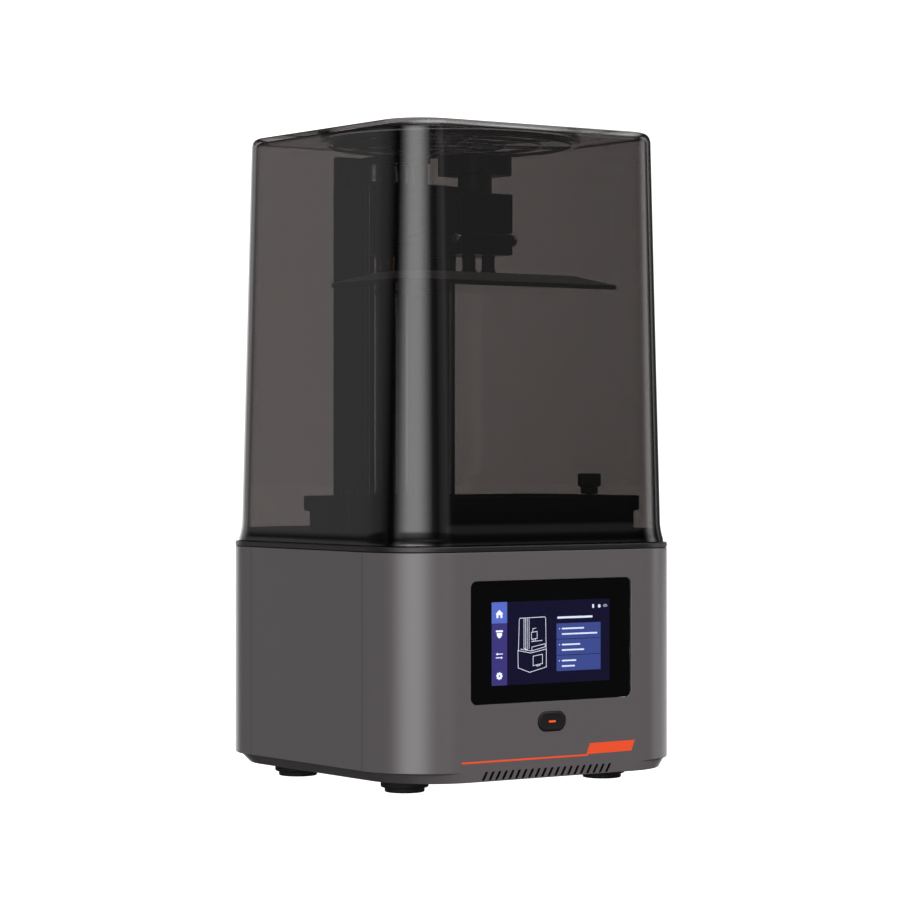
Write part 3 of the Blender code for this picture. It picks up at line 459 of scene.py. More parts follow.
def housing_skin(kind):
    rings = []
    for z, side, front in SKIN:
        inner = strip_path(kind, side + WALL, front + WALL, 0.0)
        rings.append(level(strip_path(kind, side, front, SEAM_EASE) + inner[::-1], z))
    return loft(f"skin_{kind}", rings)


def wide_cutter(name, shape, grow, y_face, ease, inward=1):
    """A cutter through a wall that faces Y, flared by grow at the face to leave a chamfer."""
    rows = [(grow, -0.002), (grow, 0.0), (0.0, ease), (0.0, 0.006)]
    return loft(name, [upright(shape(wider), y_face + inward * depth) for wider, depth in rows])


def leaning(x, low, high, width, lean, grow=0.0):
    """A leaning slot with round-cornered ends, anticlockwise."""
    half = width / 2 + grow
    low, high = low - grow, high + grow
    slope = lean / (high - low)
    end, side = half * 0.68, half * 0.48  # where the round corners start, across and along
    points = []
    for px, pz in ((-end, low), (end, low), (half, low + side), (half, high - side),
                   (end, high), (-end, high), (-half, high - side), (-half, low + side)):
        points.append((x + px + slope * (pz - low), pz))
    return points


# middle, half size and corner radius of what shows in the face
SCREEN_C, SCREEN_HALF, SCREEN_R = (-0.0005, 0.0910), (0.0601, 0.0365), 0.004
DISPLAY_C, DISPLAY_HALF = (-0.0008, 0.0901), (0.0444, 0.0249)
BUTTON_C, BUTTON_W, BUTTON_H = (-0.0008, 0.04215), 0.0208, 0.0115
FACE_EASE = 0.0001  # chamfer of the openings in the front


def screen_outline(grow):
    return rounded(SCREEN_HALF[0] + grow, SCREEN_HALF[1] + grow, SCREEN_R + grow, 8, SCREEN_C)


def button_outline(grow):
    return pill(BUTTON_W + 2 * grow, BUTTON_H + 2 * grow, BUTTON_C)


front_skin = housing_skin("front")
cutters = [
    wide_cutter("screen_cut", lambda d: screen_outline(GAP + d), FACE_EASE, FACE, FACE_EASE),
    wide_cutter("button_cut", lambda d: button_outline(GAP + d), FACE_EASE, FACE, FACE_EASE),
]
VENT_COUNT, VENT_START, VENT_STEP = 20, -0.0520, 0.00487
VENT = (0.0091, 0.0144, 0.0021, 0.0030)  # low end, high end, width and lean
# each vent slot is backed by a black plug just under the face: painted shade, a dark sheet that stands in for the
# shade deep in the slots
slots, vent_shade_plugs = [], []
for n in range(VENT_COUNT):
    x = VENT_START + VENT_STEP * n
    slots.append(wide_cutter(f"vent_{n}", lambda d: leaning(x, *VENT, d), 0.00004, FACE + 0.00005, FACE_EASE))
    vent_shade_plugs.append(slab(f"vent_plug_{n}", [leaning(x, *VENT)], FACE + 0.0003, FACE + 0.0016, "Y"))
combine(front_skin, cutters + [merged(slots)])
piece(merged(vent_shade_plugs, "vent_shade_backing"), "base", "vat_black")
piece(front_skin, "base", "grey_paint", node="base_front_shell")

piece(housing_skin("left"), "base", "grey_paint", node="side_panel_left")
right_skin = housing_skin("right")
USB_Y, USB_Z = -0.040, 0.0440
USB_HALF_Y, USB_HALF_Z = 0.0075 + GAP, 0.0037 + GAP
usb_low = (BASE_X - 0.006, USB_Y - USB_HALF_Y, USB_Z - USB_HALF_Z)
usb_high = (BASE_X + 0.002, USB_Y + USB_HALF_Y, USB_Z + USB_HALF_Z)
combine(right_skin, [bevel(block("usb_cut", usb_low, usb_high), 0.0006, 3)])
piece(right_skin, "base", "grey_paint", node="side_panel_right")

rear_skin = housing_skin("rear")
GRILLE_COUNT, GRILLE_START, GRILLE_STEP, GRILLE_EASE = 9, -0.0582, 0.006, 0.0003
GRILLE = (0.041, 0.089, 0.0028, 0.0045)  # low end, high end, width and lean
INLET_X, INLET_Z = 0.045, 0.034
grille = []
for n in range(GRILLE_COUNT):
    x = GRILLE_START + GRILLE_STEP * n
    cutter = wide_cutter(f"grille_{n}", lambda d: leaning(x, *GRILLE, d), GRILLE_EASE, BASE_Y, GRILLE_EASE, -1)
    grille.append(cutter)
inlet = [(0, -0.008), (0.0063, -0.008), (0.0063, -0.0004), (0.0067, 0.0), (0.0067, 0.003), (0, 0.003)]
combine(rear_skin, [merged(grille), turned("inlet_cut", inlet, (INLET_X, BASE_Y, INLET_Z), 40, "Y")])
piece(rear_skin, "base", "grey_paint", node="base_rear_shell")

# black strips just under the skin in the four seams between the panels: painted shade, dark sheets that stand in
# for the shade in the gaps
seam_shade_strips = []
for seam in (FRONT_SEAM, REAR_SEAM):
    for sign in (-1, 1):
        rings = []
        for z, side, _ in SKIN:
            x, deep = sorted((sign * (BASE_X - side - 0.00012), sign * (BASE_X - side - 0.0012)))
            rings.append(level(rectangle(x, seam - SEAM / 2, deep, seam + SEAM / 2), z))
        seam_shade_strips.append(loft(f"seam_shade_{sign}", rings))
piece(merged(seam_shade_strips, "panel_seam_shade"), "base", "vat_black")

# ---- touch screen
GLASS_EASE = 0.00012
glass = loft("screen_cover_glass", [upright(screen_outline(-inset), FACE + depth) for depth, inset in (
    (0.0007, 0.0), (GLASS_EASE, 0.0), (GLASS_EASE * 0.3, GLASS_EASE * 0.3), (0.0, GLASS_EASE))])
piece(glass, "base", "clear_glass")
mask = slab("screen_black_mask", [
    rounded(SCREEN_HALF[0] - 0.0001, SCREEN_HALF[1] - 0.0001, SCREEN_R, 8, SCREEN_C),
    rounded(DISPLAY_HALF[0], DISPLAY_HALF[1], 0.0004, 3, DISPLAY_C),
], FACE + 0.00072, FACE + 0.00078, "Y")
piece(mask, "base", "gloss_black", "screen_bezel")
UI_LEFT, UI_TOP = DISPLAY_C[0] - DISPLAY_HALF[0], DISPLAY_C[1] + DISPLAY_HALF[1]
UI_FACE, LCD_EDGE, LAYER = FACE + 0.0009, 0.0005, 0.00002
lcd = block("display_lcd",
            (UI_LEFT - LCD_EDGE, UI_FACE, DISPLAY_C[1] - DISPLAY_HALF[1] - LCD_EDGE),
            (DISPLAY_C[0] + DISPLAY_HALF[0] + LCD_EDGE, UI_FACE + 0.0002, UI_TOP + LCD_EDGE))
piece(lcd, "base", "ui_back", "display_panel")


def printed(name, outlines, low):
    """A thin layer on the display. Outlines are in millimetres right of its left edge and down from its top."""
    placed = [[(UI_LEFT + x * MM, UI_TOP - y * MM) for x, y in outline] for outline in outlines]
    return slab(name, placed, low, low + 0.00001, "Y")


def ui(name, outlines, material, layer=1):
    """A flat part of the display's picture."""
    return piece(printed(name, outlines, UI_FACE - LAYER * layer), "base", material)


def stroke(points, width):
    """Outlines of thin bars along a line."""
    bars = []
    for (ax, ay), (bx, by) in zip(points, points[1:]):
        a, b = Vector((ax, ay)), Vector((bx, by))
        along = (b - a).normalized() * width / 2
        side = Vector((-along.y, along.x))
        bars.append([tuple(p) for p in (a - along - side, b + along - side, b + along + side, a - along + side)])
    return bars


def drawing(name, lines, material, width):
    """Thin lines of the display's picture as one piece; each bar lies a hair over the last."""
    bars = [bar for line in lines for bar in stroke(line, width)]
    items = []
    for n, bar in enumerate(bars):
        items.append(printed(f"{name}_{n}", [bar], UI_FACE - LAYER * 2 - LAYER / 10 * (n % 5)))
    return piece(merged(items, name), "base", material)


ui("ui_sidebar", [rectangle(0, 0, 11.5, 49.8)], "ui_side")
ui("ui_active_tile", [rectangle(0, 0, 11.5, 12.7)], "ui_active", 2)
for n, top in enumerate((14.1, 23.8, 33.5)):
    ui(f"ui_info_tile_{n}", [rectangle(48.4, top, 82.0, top + 9.4)], "ui_tile", 1)
    for k, (dy, width) in enumerate(((2.6, 17.0 - 3.0 * n), (5.9, (27.0, 17.0, 10.0)[n]))):
        ui(f"ui_info_bar_{n}_{k}", [pill(width, 0.95, (52.4 + width / 2, top + dy + 0.6), 6)], "ui_soft", 2)
    ui(f"ui_info_dot_{n}", [circle(0.35, 12, (50.6, top + 3.2))], "ui_white", 2)
ui("ui_title_bar", [pill(27.0, 1.25, (62.4, 10.6), 6)], "ui_soft", 1)
ui("ui_status_card", [rectangle(75.6, 3.2, 77.0, 5.4)], "ui_soft")
ui("ui_status_dot", [circle(1.05, 16, (81.0, 4.4))], "ui_soft")
drawing("ui_status_waves", [arc(85.6, 5.6, 2.0, 220, 320, 8), arc(85.6, 5.6, 1.1, 220, 320, 6)], "ui_soft", 0.28)
house = [(5.8, 4.6), (8.7, 7.2), (8.0, 7.2), (8.0, 9.5), (6.5, 9.5), (6.5, 7.8), (5.1, 7.8), (5.1, 9.5),
         (3.6, 9.5), (3.6, 7.2), (2.9, 7.2)]
ui("ui_icon_home", [house], "ui_white", 3)
ui("ui_icon_print_top", [pill(5.4, 1.1, (5.8, 17.4), 6)], "ui_white", 2)
drop = [(3.9, 18.4), (7.7, 18.4), (7.7, 20.0), (6.9, 21.0), (5.8, 21.7), (4.7, 21.0), (3.9, 20.0)]
ui("ui_icon_print_body", [drop], "ui_white", 2)
arrow = [(-2.6, -0.25), (1.2, -0.25), (1.2, -0.8), (2.6, 0), (1.2, 0.8), (1.2, 0.25), (-2.6, 0.25)]
for n, (y, s) in enumerate(((31.0, -1), (33.2, 1))):
    ui(f"ui_icon_arrow_{n}", [[(5.8 + s * dx, y + dy) for dx, dy in arrow]], "ui_white", 2)
gear = []
for n in range(32):
    r = 2.4 if n % 4 in (0, 1) else 1.9
    gear.append((5.8 + r * math.cos(TURN * n / 32), 44.1 + r * math.sin(TURN * n / 32)))
ui("ui_icon_gear", [gear, circle(0.55, 16, (5.8, 44.1))], "ui_white", 2)
machine = [
    [(19.9, 29.2), (20.5, 11.0), (21.0, 10.1), (39.6, 9.8), (40.2, 10.6), (40.6, 29.0)],
    [(19.5, 29.4), (29.0, 31.2), (40.7, 29.2)],
    [(19.5, 29.4), (19.7, 39.8), (28.2, 42.8), (40.7, 40.0), (40.7, 29.2)],
    [(30.8, 33.2), (37.8, 32.2), (37.8, 37.8), (30.8, 38.9), (30.8, 33.2)],
    [(33.6, 38.5), (33.6, 39.3), (36.0, 38.9), (36.0, 38.2)],
    [(24.0, 10.4), (24.0, 28.2), (26.4, 29.2)], [(25.2, 10.4), (25.2, 28.6)], [(26.4, 10.4), (26.4, 29.2)],
    [(27.8, 10.4), (27.8, 28.6)],
    [(29.6, 18.8), (33.8, 18.4), (33.8, 22.6), (29.6, 23.0), (29.6, 18.8)],
    [(30.6, 18.6), (30.6, 16.6), (32.8, 16.4)], [(29.6, 24.4), (37.6, 23.9)], [(30.8, 23.0), (30.8, 24.3)],
    [(32.6, 22.8), (32.6, 24.2)],
    [(21.6, 28.6), (29.6, 30.0), (40.0, 27.8), (39.8, 26.0), (30.0, 27.6), (29.8, 30.0)],
]
drawing("ui_machine_lines", machine, "ui_line", 0.30)

# ---- power button, stripe and badge
cap_rows = [(0.0046, 0.0), (-0.0001, 0.0), (-0.0004, 0.00018), (-0.00055, 0.0005), (-0.0006, 0.0012),
            (-0.00042, 0.0030)]
cap = loft("button_cap", [upright(button_outline(-inset), FACE + depth) for depth, inset in cap_rows])


def bar_block(name, half_x, half_z, front, back):
    """A block around the middle of the button's light bar, from front to back of the housing's face."""
    x, z = BUTTON_C[0] - 0.0001, BUTTON_C[1] - 0.0001
    return block(name, (x - half_x, FACE + front, z - half_z), (x + half_x, FACE + back, z + half_z))


combine(cap, [bar_block("bar_pocket", 0.0026, 0.00065, -0.004, 0.0012)])
piece(cap, "power_button", "deck_black", "power_button")
bar = bevel(bar_block("button_light_bar", 0.00255, 0.0006, -0.00055, 0.0010), 0.00012)
piece(bar, "power_button", "orange_glow", "power_button_light")

PRINT = (FACE - 0.00003, FACE + 0.00001)
stripe = slab("front_stripe", [rectangle(-0.0675, 0.0198, 0.0266, 0.0209)], *PRINT, "Y")
piece(stripe, "base", "orange_print")
slanted = [(0.0253, 0.0209), (0.0600, 0.0212), (0.0627, 0.0277), (0.0280, 0.0274)]
badge = slab("front_badge", [slanted], *PRINT, "Y")
piece(badge, "base", "orange_print")

# ---- feet and underside
FOOT_X, FOOT_Y = 0.075, 0.060
pad = [(0, 0.0082), (0.0142, 0.0082), (0.0145, 0.0079), (0.0145, 0.0037), (0.0141, 0.0031), (0.0134, 0.0028),
       (0.0124, 0.0028), (0.0121, 0.0025), (0.0121, 0.0008), (0.0118, 0.0002), (0.0111, 0.0), (0.0050, 0.0),
       (0.0046, 0.0006), (0, 0.0006)]
for side, x in (("left", -FOOT_X), ("right", FOOT_X)):
    for end, y in (("front", -FOOT_Y), ("rear", FOOT_Y)):
        foot = turned(f"pad_{end}_{side}", pad, (x, y, 0.0), 56)
        piece(foot, "base", "rubber", node=f"foot_{end}_{side}")

# ---- deck
LCD_X, LCD_Y = 0.0835, 0.0485
RIM, TABLE = (BASE_X, BASE_Y, BASE_R), (0.1046, 0.1036, 0.0370)
rings = []
for (hx, hy, r), z, inset in (
    (RIM, DECK_LOW, 0.0004), (RIM, DECK_LOW + 0.0003, 0.0), (RIM, DECK_RIM - 0.0007, 0.0),
    (RIM, DECK_RIM - 0.0002, 0.0002), (RIM, DECK_RIM, 0.0007), (TABLE, DECK_RIM, 0.0),
    (TABLE, DECK_TOP - 0.0005, 0.0), (TABLE, DECK_TOP - 0.00015, 0.00015), (TABLE, DECK_TOP, 0.0005),
):
    rings.append(level(rounded(hx - inset, hy - inset, r - inset, 18), z))
deck = loft("deck_cover", rings)
combine(deck, [
    slab("lcd_cut", [rounded(LCD_X + 0.0005, LCD_Y + 0.0005, 0.003, 6, (0, OPTIC_Y))], 0.142, 0.153),
    turned("screw_cut", [(0, 0.142), (0.0055, 0.142), (0.0055, 0.153), (0, 0.153)], (0, SCREW_Y, 0), 40),
])
piece(deck, "base", "deck_black", "deck_plate")
lcd_top = bevel(slab("masking_screen", [rounded(LCD_X, LCD_Y, 0.0025, 6, (0, OPTIC_Y))], 0.1465, 0.1501), 0.0003)
piece(lcd_top, "base", "gloss_black", "exposure_lcd")


# ---- cover
SIDE_LOW, ROOF_EDGE = 0.1620, 0.3970  # where the straight taper starts and ends
DISH, DISH_Z = 0.0805, 0.4001


def cover_profile():
    """Height, half width, half depth and corner radius of the cover's outer skin, bottom first."""
    rows = [(COVER_LOW, 0.1077, 0.1067, 0.0398)]
    rows += [(z, 0.1080, 0.1070, 0.0400) for z in (0.1489, 0.1502)]
    for n in range(1, 7):
        t = n / 6
        s = 0.0020 * math.sin(t * math.pi / 2) ** 0.9
        rows.append((0.1502 + 0.0118 * t, 0.1080 - s, 0.1070 - s, 0.0400 - s))
    for n in range(1, 13):
        t = n / 12
        rows.append((SIDE_LOW + 0.2350 * t, 0.1060 - 0.00726 * t, 0.1050 - 0.00626 * t, 0.0380 - 0.0090 * t))
    for n in range(1, 8):
        a = math.radians(90 * n / 7)
        d = 0.0040 * (1 - math.cos(a))
        rows.append((ROOF_EDGE + 0.0061 * math.sin(a), 0.09874 - d, 0.09874 - d, 0.0290 - d * 0.8))
    return rows


def dish_rings(template, rows):
    """Rings of the roof's round dish with the corners of the skin's last ring."""
    return [[(*(Vector((x, y)).normalized() * radius), z) for x, y, _ in template] for radius, z in rows]


outer, inner = [], []
for z, hx, hy, r in cover_profile():
    outer.append(level(rounded(hx, hy, r, 14, side_steps=14), z))
    share = max(0.0, (z - ROOF_EDGE) / 0.0061)
    wall = COVER_WALL
    inner.append(level(rounded(hx - wall, hy - wall, r - wall, 14, side_steps=14), z - wall * share))
outer += dish_rings(outer[-1], (
    (DISH + 0.0006, COVER_HIGH), (DISH + 0.0001, COVER_HIGH - 0.0004), (DISH - 0.0004, DISH_Z + 0.0005),
    (DISH - 0.0008, DISH_Z + 0.0001), (DISH - 0.0014, DISH_Z), (DISH * 0.55, DISH_Z), (DISH * 0.2, DISH_Z)))
UNDER = DISH_Z - COVER_WALL
inner += dish_rings(inner[-1], (
    (DISH + 0.0026, 0.4006), (DISH + 0.0022, 0.4002), (DISH + 0.0016, UNDER + 0.0004), (DISH + 0.0010, UNDER),
    (DISH * 0.55, UNDER), (DISH * 0.2, UNDER)))


def shell_between(name, outside, inside):
    """A closed wall between two skins that start at the same open rim and end in small middle rings."""
    bm = bmesh.new()
    skins = [[[bm.verts.new(p) for p in row] for row in rows] for rows in (outside, inside)]
    for rows, flip in zip(skins, (False, True)):
        skinned(bm, rows, flip)
        bm.faces.new(rows[-1][::-1] if flip else rows[-1])
    a, b = skins[0][0], skins[1][0]
    for quad in zip(a[1:] + a[:1], a, b, b[1:] + b[:1]):
        bm.faces.new(quad)
    return solid(bm, name)


cover = shell_between("cover_shell", outer, inner)
MARK, MARK_IN, MARK_OUT, MARK_Z = 0.0004, 0.0950, 0.0992, (0.4022, 0.4050)
marks = []
for side, low, high in (
    ("front", (-MARK, -MARK_OUT), (MARK, -MARK_IN)), ("rear", (-MARK, MARK_IN), (MARK, MARK_OUT)),
    ("left", (-MARK_OUT, -MARK), (-MARK_IN, MARK)), ("right", (MARK_IN, -MARK), (MARK_OUT, MARK)),
):
    marks.append(block(f"mark_{side}", (*low, MARK_Z[0]), (*high, MARK_Z[1])))
combine(cover, marks)
piece(cover, "cover", "smoked_acrylic", node="cover")
LIP_LOW, LIP_HIGH = 0.1506, 0.1566
lip = [level(rounded(hx, hy, r, 14), z) for hx, hy, r, z in (
    (0.1052, 0.1042, 0.0372, LIP_LOW), (0.1036, 0.1026, 0.0356, LIP_LOW), (0.1028, 0.1018, 0.0350, LIP_HIGH),
    (0.1034, 0.1024, 0.0356, LIP_HIGH))]
piece(loft("cover_lip", lip, hoop=True), "cover", "smoked_dark")
RIB_Z, RIB_WIDTH, SPOKES = 0.3966, 0.0009, 8
ribs = []
for radius in (0.014, 0.036, 0.058, 0.0775):
    ribs.append(slab(f"ring_{radius}", [circle(radius, 72), circle(radius - RIB_WIDTH, 72)], RIB_Z, 0.39755))
for n in range(SPOKES):
    spoke = block("spoke", (0.0142, -0.0004, RIB_Z), (0.0764, 0.0004, 0.39750))
    spoke.data.transform(Matrix.Rotation(TURN * (n + 0.5) / SPOKES, 4, "Z"))
    ribs.append(spoke)
ribs = combine(ribs[0], ribs[1:], "UNION")
ribs.name = "dish_ribs"
piece(ribs, "cover", "smoked_dark")

# ---- vat
VAT_LOW, THUMB_X = 0.15305, 0.092
vat = loft("vat_tray", [level(rounded(hx, hy, r, 8, (0.0, OPTIC_Y)), z) for hx, hy, r, z in (
    (0.0889, 0.0537, 0.006, VAT_LOW), (0.0889, 0.0537, 0.006, 0.1668), (0.0893, 0.0540, 0.0062, 0.1676),
    (0.0900, 0.0543, 0.0068, 0.1680), (0.0928, 0.0545, 0.0076, 0.1680), (0.0935, 0.0547, 0.0080, 0.1687),
    (0.0935, 0.0547, 0.0080, 0.1764), (0.0932, 0.0544, 0.0077, 0.1771), (0.0926, 0.0538, 0.0071, 0.1773),
    (0.0858, 0.0483, 0.0068, 0.1773), (0.0852, 0.0477, 0.0062, 0.1770), (0.0850, 0.0475, 0.0060, 0.1762),
    (0.0850, 0.0475, 0.0060, VAT_LOW),
)], hoop=True)
notches = []
for side in (-1, 1):
    low, high = sorted((side * 0.0892, side * 0.0972))
    notches.append(block(f"notch_{side}", (low, OPTIC_Y - 0.003, 0.165), (high, OPTIC_Y + 0.003, 0.180)))
combine(vat, [merged(notches)])
piece(vat, "vat", "vat_black", "vat_body")

thumb = [
    (0, 0.1907), (0.0018, 0.1907), (0.0022, 0.1902), (0.0052, 0.1902), (0.0056, 0.1907), (0.0066, 0.1907),
    (0.0073, 0.1903), (0.0075, 0.1897), (0.0075, 0.1831), (0.0071, 0.1825), (0.0060, 0.1822), (0.0055, 0.1818),
    (0.0055, 0.1780), (0.0052, 0.1776), (0.0026, 0.1776), (0.0023, 0.1773), (0.0023, 0.1512), (0.0019, 0.1506),
    (0, 0.1506),
]
for side, x in (("left", -THUMB_X), ("right", THUMB_X)):
    screw = turned(f"thumb_{side}", thumb, (x, OPTIC_Y, 0.0), 96, "Z", 24, 0.00045, (7, 8, 9))
    piece(screw, f"vat_thumbscrew_{side}", "black_plastic", node=f"vat_thumbscrew_{side}")

# ---- Z column
# the profile's half width, the ends of its cheeks, the face of its channel and its back; the lead screw's axis
CX, CF, CP, CB = 0.035, 0.043, 0.0746, 0.0835
AXIS, PLATE_FRONT, ROD_Y = (0, SCREW_Y), 0.046, 0.066
outline = [
    (-CX + 0.0007, CF), (-CX + 0.0023, CF), (-CX + 0.003, CF + 0.0007),
    *arc(-CX + 0.0045, CP - 0.0015, 0.0015, 180, 90, 4), *arc(CX - 0.0045, CP - 0.0015, 0.0015, 90, 0, 4),
    (CX - 0.003, CF + 0.0007), (CX - 0.0023, CF), (CX - 0.0007, CF), (CX, CF + 0.0007),
    *arc(CX - 0.004, CB - 0.004, 0.004, 0, 90, 6), *arc(-CX + 0.004, CB - 0.004, 0.004, 90, 180, 6),
    (-CX, CF + 0.0007),
]
column = slab("column_profile", [outline], 0.1506, 0.3745)
head = slab("column_head", [[(-0.0349, CP + 0.0001), (0.0349, CP + 0.0001), (0.0349, CB - 0.0042),
                             *arc(0.0309, CB - 0.0042, 0.004, 0, 90, 6)[1:],
                             *arc(-0.0309, CB - 0.0042, 0.004, 90, 180, 6)]], 0.3700, 0.3945)
combine(column, [head], "UNION")
sunk = [(0, -0.002), (0.0021, -0.002), (0.0021, 0.0006), (0.0036, 0.0026), (0, 0.0026)]
holes = []
for z in (0.170, 0.200, 0.230, 0.260, 0.290, 0.320, 0.350):
    holes.append(turned("hole", sunk, (0.0, CB - 0.002, z), 28, "Y"))
combine(column, [merged(holes)])
piece(column, "base", "black_anodised", node="z_column")
# light grey strips on the inner front edges of the column's cheeks: a painted highlight, their light colour
# stands in for the light those edges catch
for side, x in (("left", -0.0318), ("right", 0.0318)):
    strip = block(f"column_highlight_strip_{side}", (x - 0.0004, CF + 0.0007, 0.1515), (x + 0.0004, CF + 0.0026, 0.3738))
    piece(strip, "base", "bright_trim")
plate = slab("top_plate", [
    rounded(0.0185, (CP - GAP - PLATE_FRONT) / 2, 0.003, 5, (0.0, (CP - GAP + PLATE_FRONT) / 2)),
    circle(0.0083, 40, AXIS),
], 0.3905, 0.3945)
piece(bevel(plate, 0.0004), "base", "black_anodised", node="top_bearing_plate")


def washer(name, wide, narrow, low, high, steps=(40, 36)):
    """A flat ring around the lead screw."""
    return slab(name, [circle(wide, steps[0], AXIS), circle(narrow, steps[1], AXIS)], low, high)


race = washer("bearing_outer_ring", 0.0080, 0.0066, 0.3907, 0.3943, (48, 40))
piece(bevel(race, 0.0002), "base", "polished_steel", node="top_bearing")
piece(washer("bearing_seal", 0.0065, 0.0053, 0.3912, 0.3938), "base", "rubber")
race = washer("bearing_inner_ring", 0.0052, 0.0043, 0.3907, 0.3943)
piece(bevel(race, 0.0002), "base", "polished_steel")
rod_profile = [(0, 0.1506), (0.0045, 0.1506), (0.0050, 0.1511), (0.0050, 0.3897), (0.0045, 0.3902), (0, 0.3902)]
for side, x in (("left", -0.0125), ("right", 0.0125)):
    rod = turned(f"rod_{side}", rod_profile, (x, ROD_Y, 0.0), 56)
    piece(rod, "base", "polished_steel", node=f"guide_rod_{side}")


def lead_screw_mesh():
    """A trapezoid two-start thread of 4 mm lead over the visible length, plain below."""
    lead, starts, crest, root = 0.004, 2, 0.0039, 0.0032
    low, high, around, per_pitch = 0.1500, 0.3895, 24, 6
    pitch = lead / starts
    # a radius of 0 is the tip of an end cap, and None is cut with the thread
    rows = [(0.1182, 0), (0.1182, 0.0040), (low - 0.0006, 0.0040), (low - 0.0002, root)]
    count = round((high - low) / pitch * per_pitch)
    rows += [(low + (high - low) * k / count, None) for k in range(count + 1)]
    rows += [(high + 0.0002, root), (high + 0.0006, 0.0038), (0.3930, 0.0038), (0.3935, 0.0034), (0.3935, 0)]
    bm = bmesh.new()
    made = []
    for z, radius in rows:
        if radius == 0:
            made.append([bm.verts.new((0, SCREW_Y, z))] * around)
            continue
        row = []
        for n in range(around):
            angle = TURN * n / around
            r = radius
            if r is None:
                phase = ((z - lead * n / around) / pitch) % 1.0
                tooth = min(1.0, max(0.0, (abs(phase - 0.5) - 0.14) / 0.16))
                r = root + (crest - root) * tooth
            row.append(bm.verts.new((r * math.cos(angle), SCREW_Y + r * math.sin(angle), z)))
        made.append(row)
    skinned(bm, made)
    return solid(bm, "lead_screw_thread")


piece(lead_screw_mesh(), "lead_screw", "polished_steel", node="lead_screw")

# ---- carriage, arm and platform
rod_holes = [circle(0.0054, 40, (x, ROD_Y)) for x in (-0.0125, 0.0125)]
screw_hole = circle(0.0045, 36, AXIS)
CAR_F, CAR_B = 0.044, 0.0736


def carriage_block(name, half, low, high):
    outline = rounded(half, (CAR_B - CAR_F) / 2, 0.0015, 4, (0.0, (CAR_B + CAR_F) / 2))
    return bevel(slab(name, [outline, *rod_holes, screw_hole], low, high), 0.0004, 2)


carriage = carriage_block("carriage_block", 0.030, 0.3305, 0.3770)
shoe = carriage_block("carriage_shoe", 0.027, 0.3075, 0.3185)
web = block("carriage_web", (-0.008, CAR_F + 0.0001, 0.3160), (0.008, CAR_F + 0.0065, 0.3330))
combine(carriage, [web, shoe], "UNION")
piece(carriage, "z_carriage", "black_anodised", node="carriage")
screw_head = [(0.0018, -0.0012), (0.0024, -0.0012), (0.0027, -0.0009), (0.0027, 0.0), (0.0027, 0.0004),
              (0, 0.0004)]
for n, (x, z) in enumerate((x, z) for x in (-0.0225, 0.0225) for z in (0.3365, 0.3710)):
    head = turned(f"carriage_screw_{n}", screw_head, (x, CAR_F, z), 32, "Y")
    piece(head, "z_carriage", "dark_steel")
nut = washer("nut_body", 0.0075, 0.0044, 0.3188, 0.3302, (48, 36))
piece(bevel(nut, 0.0004), "z_carriage", "brass", node="lead_nut")

back, fore = CAR_F - GAP, -0.0050 + GAP
outline = [(fore, 0.3480), (fore + 0.008, 0.3440), (back - 0.012, 0.3398), (back, 0.3380), (back, 0.3718),
           (fore, 0.3718)]
arm = slab("arm_block", [outline], -0.016, 0.016, "X")
pocket = [bevel(block(f"pocket_{n}", (low, 0.004, 0.3525), (high, 0.036, 0.3655)), 0.003, 4)
          for n, (low, high) in enumerate(((-0.020, -0.0125), (0.0125, 0.020)))]
combine(bevel(arm, 0.0006), pocket)
piece(arm, "z_carriage", "black_anodised", node="platform_arm")


def plate_ring(hx, hy, z, r=0.003):
    return level(rounded(hx, hy, r, 6, (0.0, PLATFORM_Y)), z)


plate = loft("build_plate_body", [
    plate_ring(0.0805, 0.0415, 0.3062, 0.0025), plate_ring(0.0810, 0.0420, 0.3066),
    plate_ring(0.0810, 0.0420, 0.3088), plate_ring(0.0806, 0.0416, 0.3091),
])
piece(plate, "z_carriage", "plate_face", "build_plate")
slope = loft("build_plate_slope", [
    plate_ring(0.0805, 0.0415, 0.30912), plate_ring(0.0624, 0.0234, 0.3150), plate_ring(0.0618, 0.0228, 0.3153),
])
piece(slope, "z_carriage", "plate_top")
post = [(0, 0.3156), (0.0043, 0.3156), (0.0047, 0.3160), (0.0047, 0.3178), (0.0040, 0.3182), (0.0040, 0.3252),
        (0.0043, 0.3256), (0.0043, 0.3264), (0.0040, 0.3268), (0, 0.3268)]
for n, (y, x) in enumerate(((y, x) for y in (-0.0316, -0.0106) for x in (-0.00735, 0.00735)), 1):
    foot = turned(f"post_{n}", post, (x, y, 0.0), 40)
    piece(foot, "z_carriage", "dark_steel", node=f"platform_post_{n}")
CLAMP_X, CLAMP_FRONT, CLAMP_BACK = 0.020, -0.041, -0.0050
for name, node, low, high in (
    ("clamp_low_block", "clamp_lower", 0.3271, 0.3403), ("clamp_high_block", "clamp_upper", 0.3406, 0.3653),
):
    half = bevel(block(name, (-CLAMP_X, CLAMP_FRONT, low), (CLAMP_X, CLAMP_BACK, high)), 0.0012, 3)
    piece(half, "z_carriage", "black_anodised", node=node)
bolt = [(0, 0.0009), (0.0014, 0.0009), (0.0014, 0.0026), (0.0028, 0.0026), (0.0034, 0.0021), (0.0035, 0.0014),
        (0.0035, 0.0), (0, 0.0)]
for side, sign in (("left", -1), ("right", 1)):
    head = turned(f"clamp_bolt_{side}", bolt, (0, 0, 0), 36)
    place = Matrix.Translation((sign * (CLAMP_X + GAP), -0.0385, 0.3365))
    head.data.transform(place @ Matrix.Rotation(sign * math.pi / 2, 4, "Y"))
    piece(head, "z_carriage", "polished_steel", node=f"clamp_screw_{side}")


def knob_outline(inset):
    lobe = 0.0088
    reach = 0.023 - lobe
    points = []
    for k in range(4):
        angle = 90 * k - 35
        cx, cy = reach * math.cos(math.radians(angle)), reach * math.sin(math.radians(angle))
        points += arc(cx, cy + PLATFORM_Y, lobe - inset, angle - 68, angle + 68, 14)
    return points


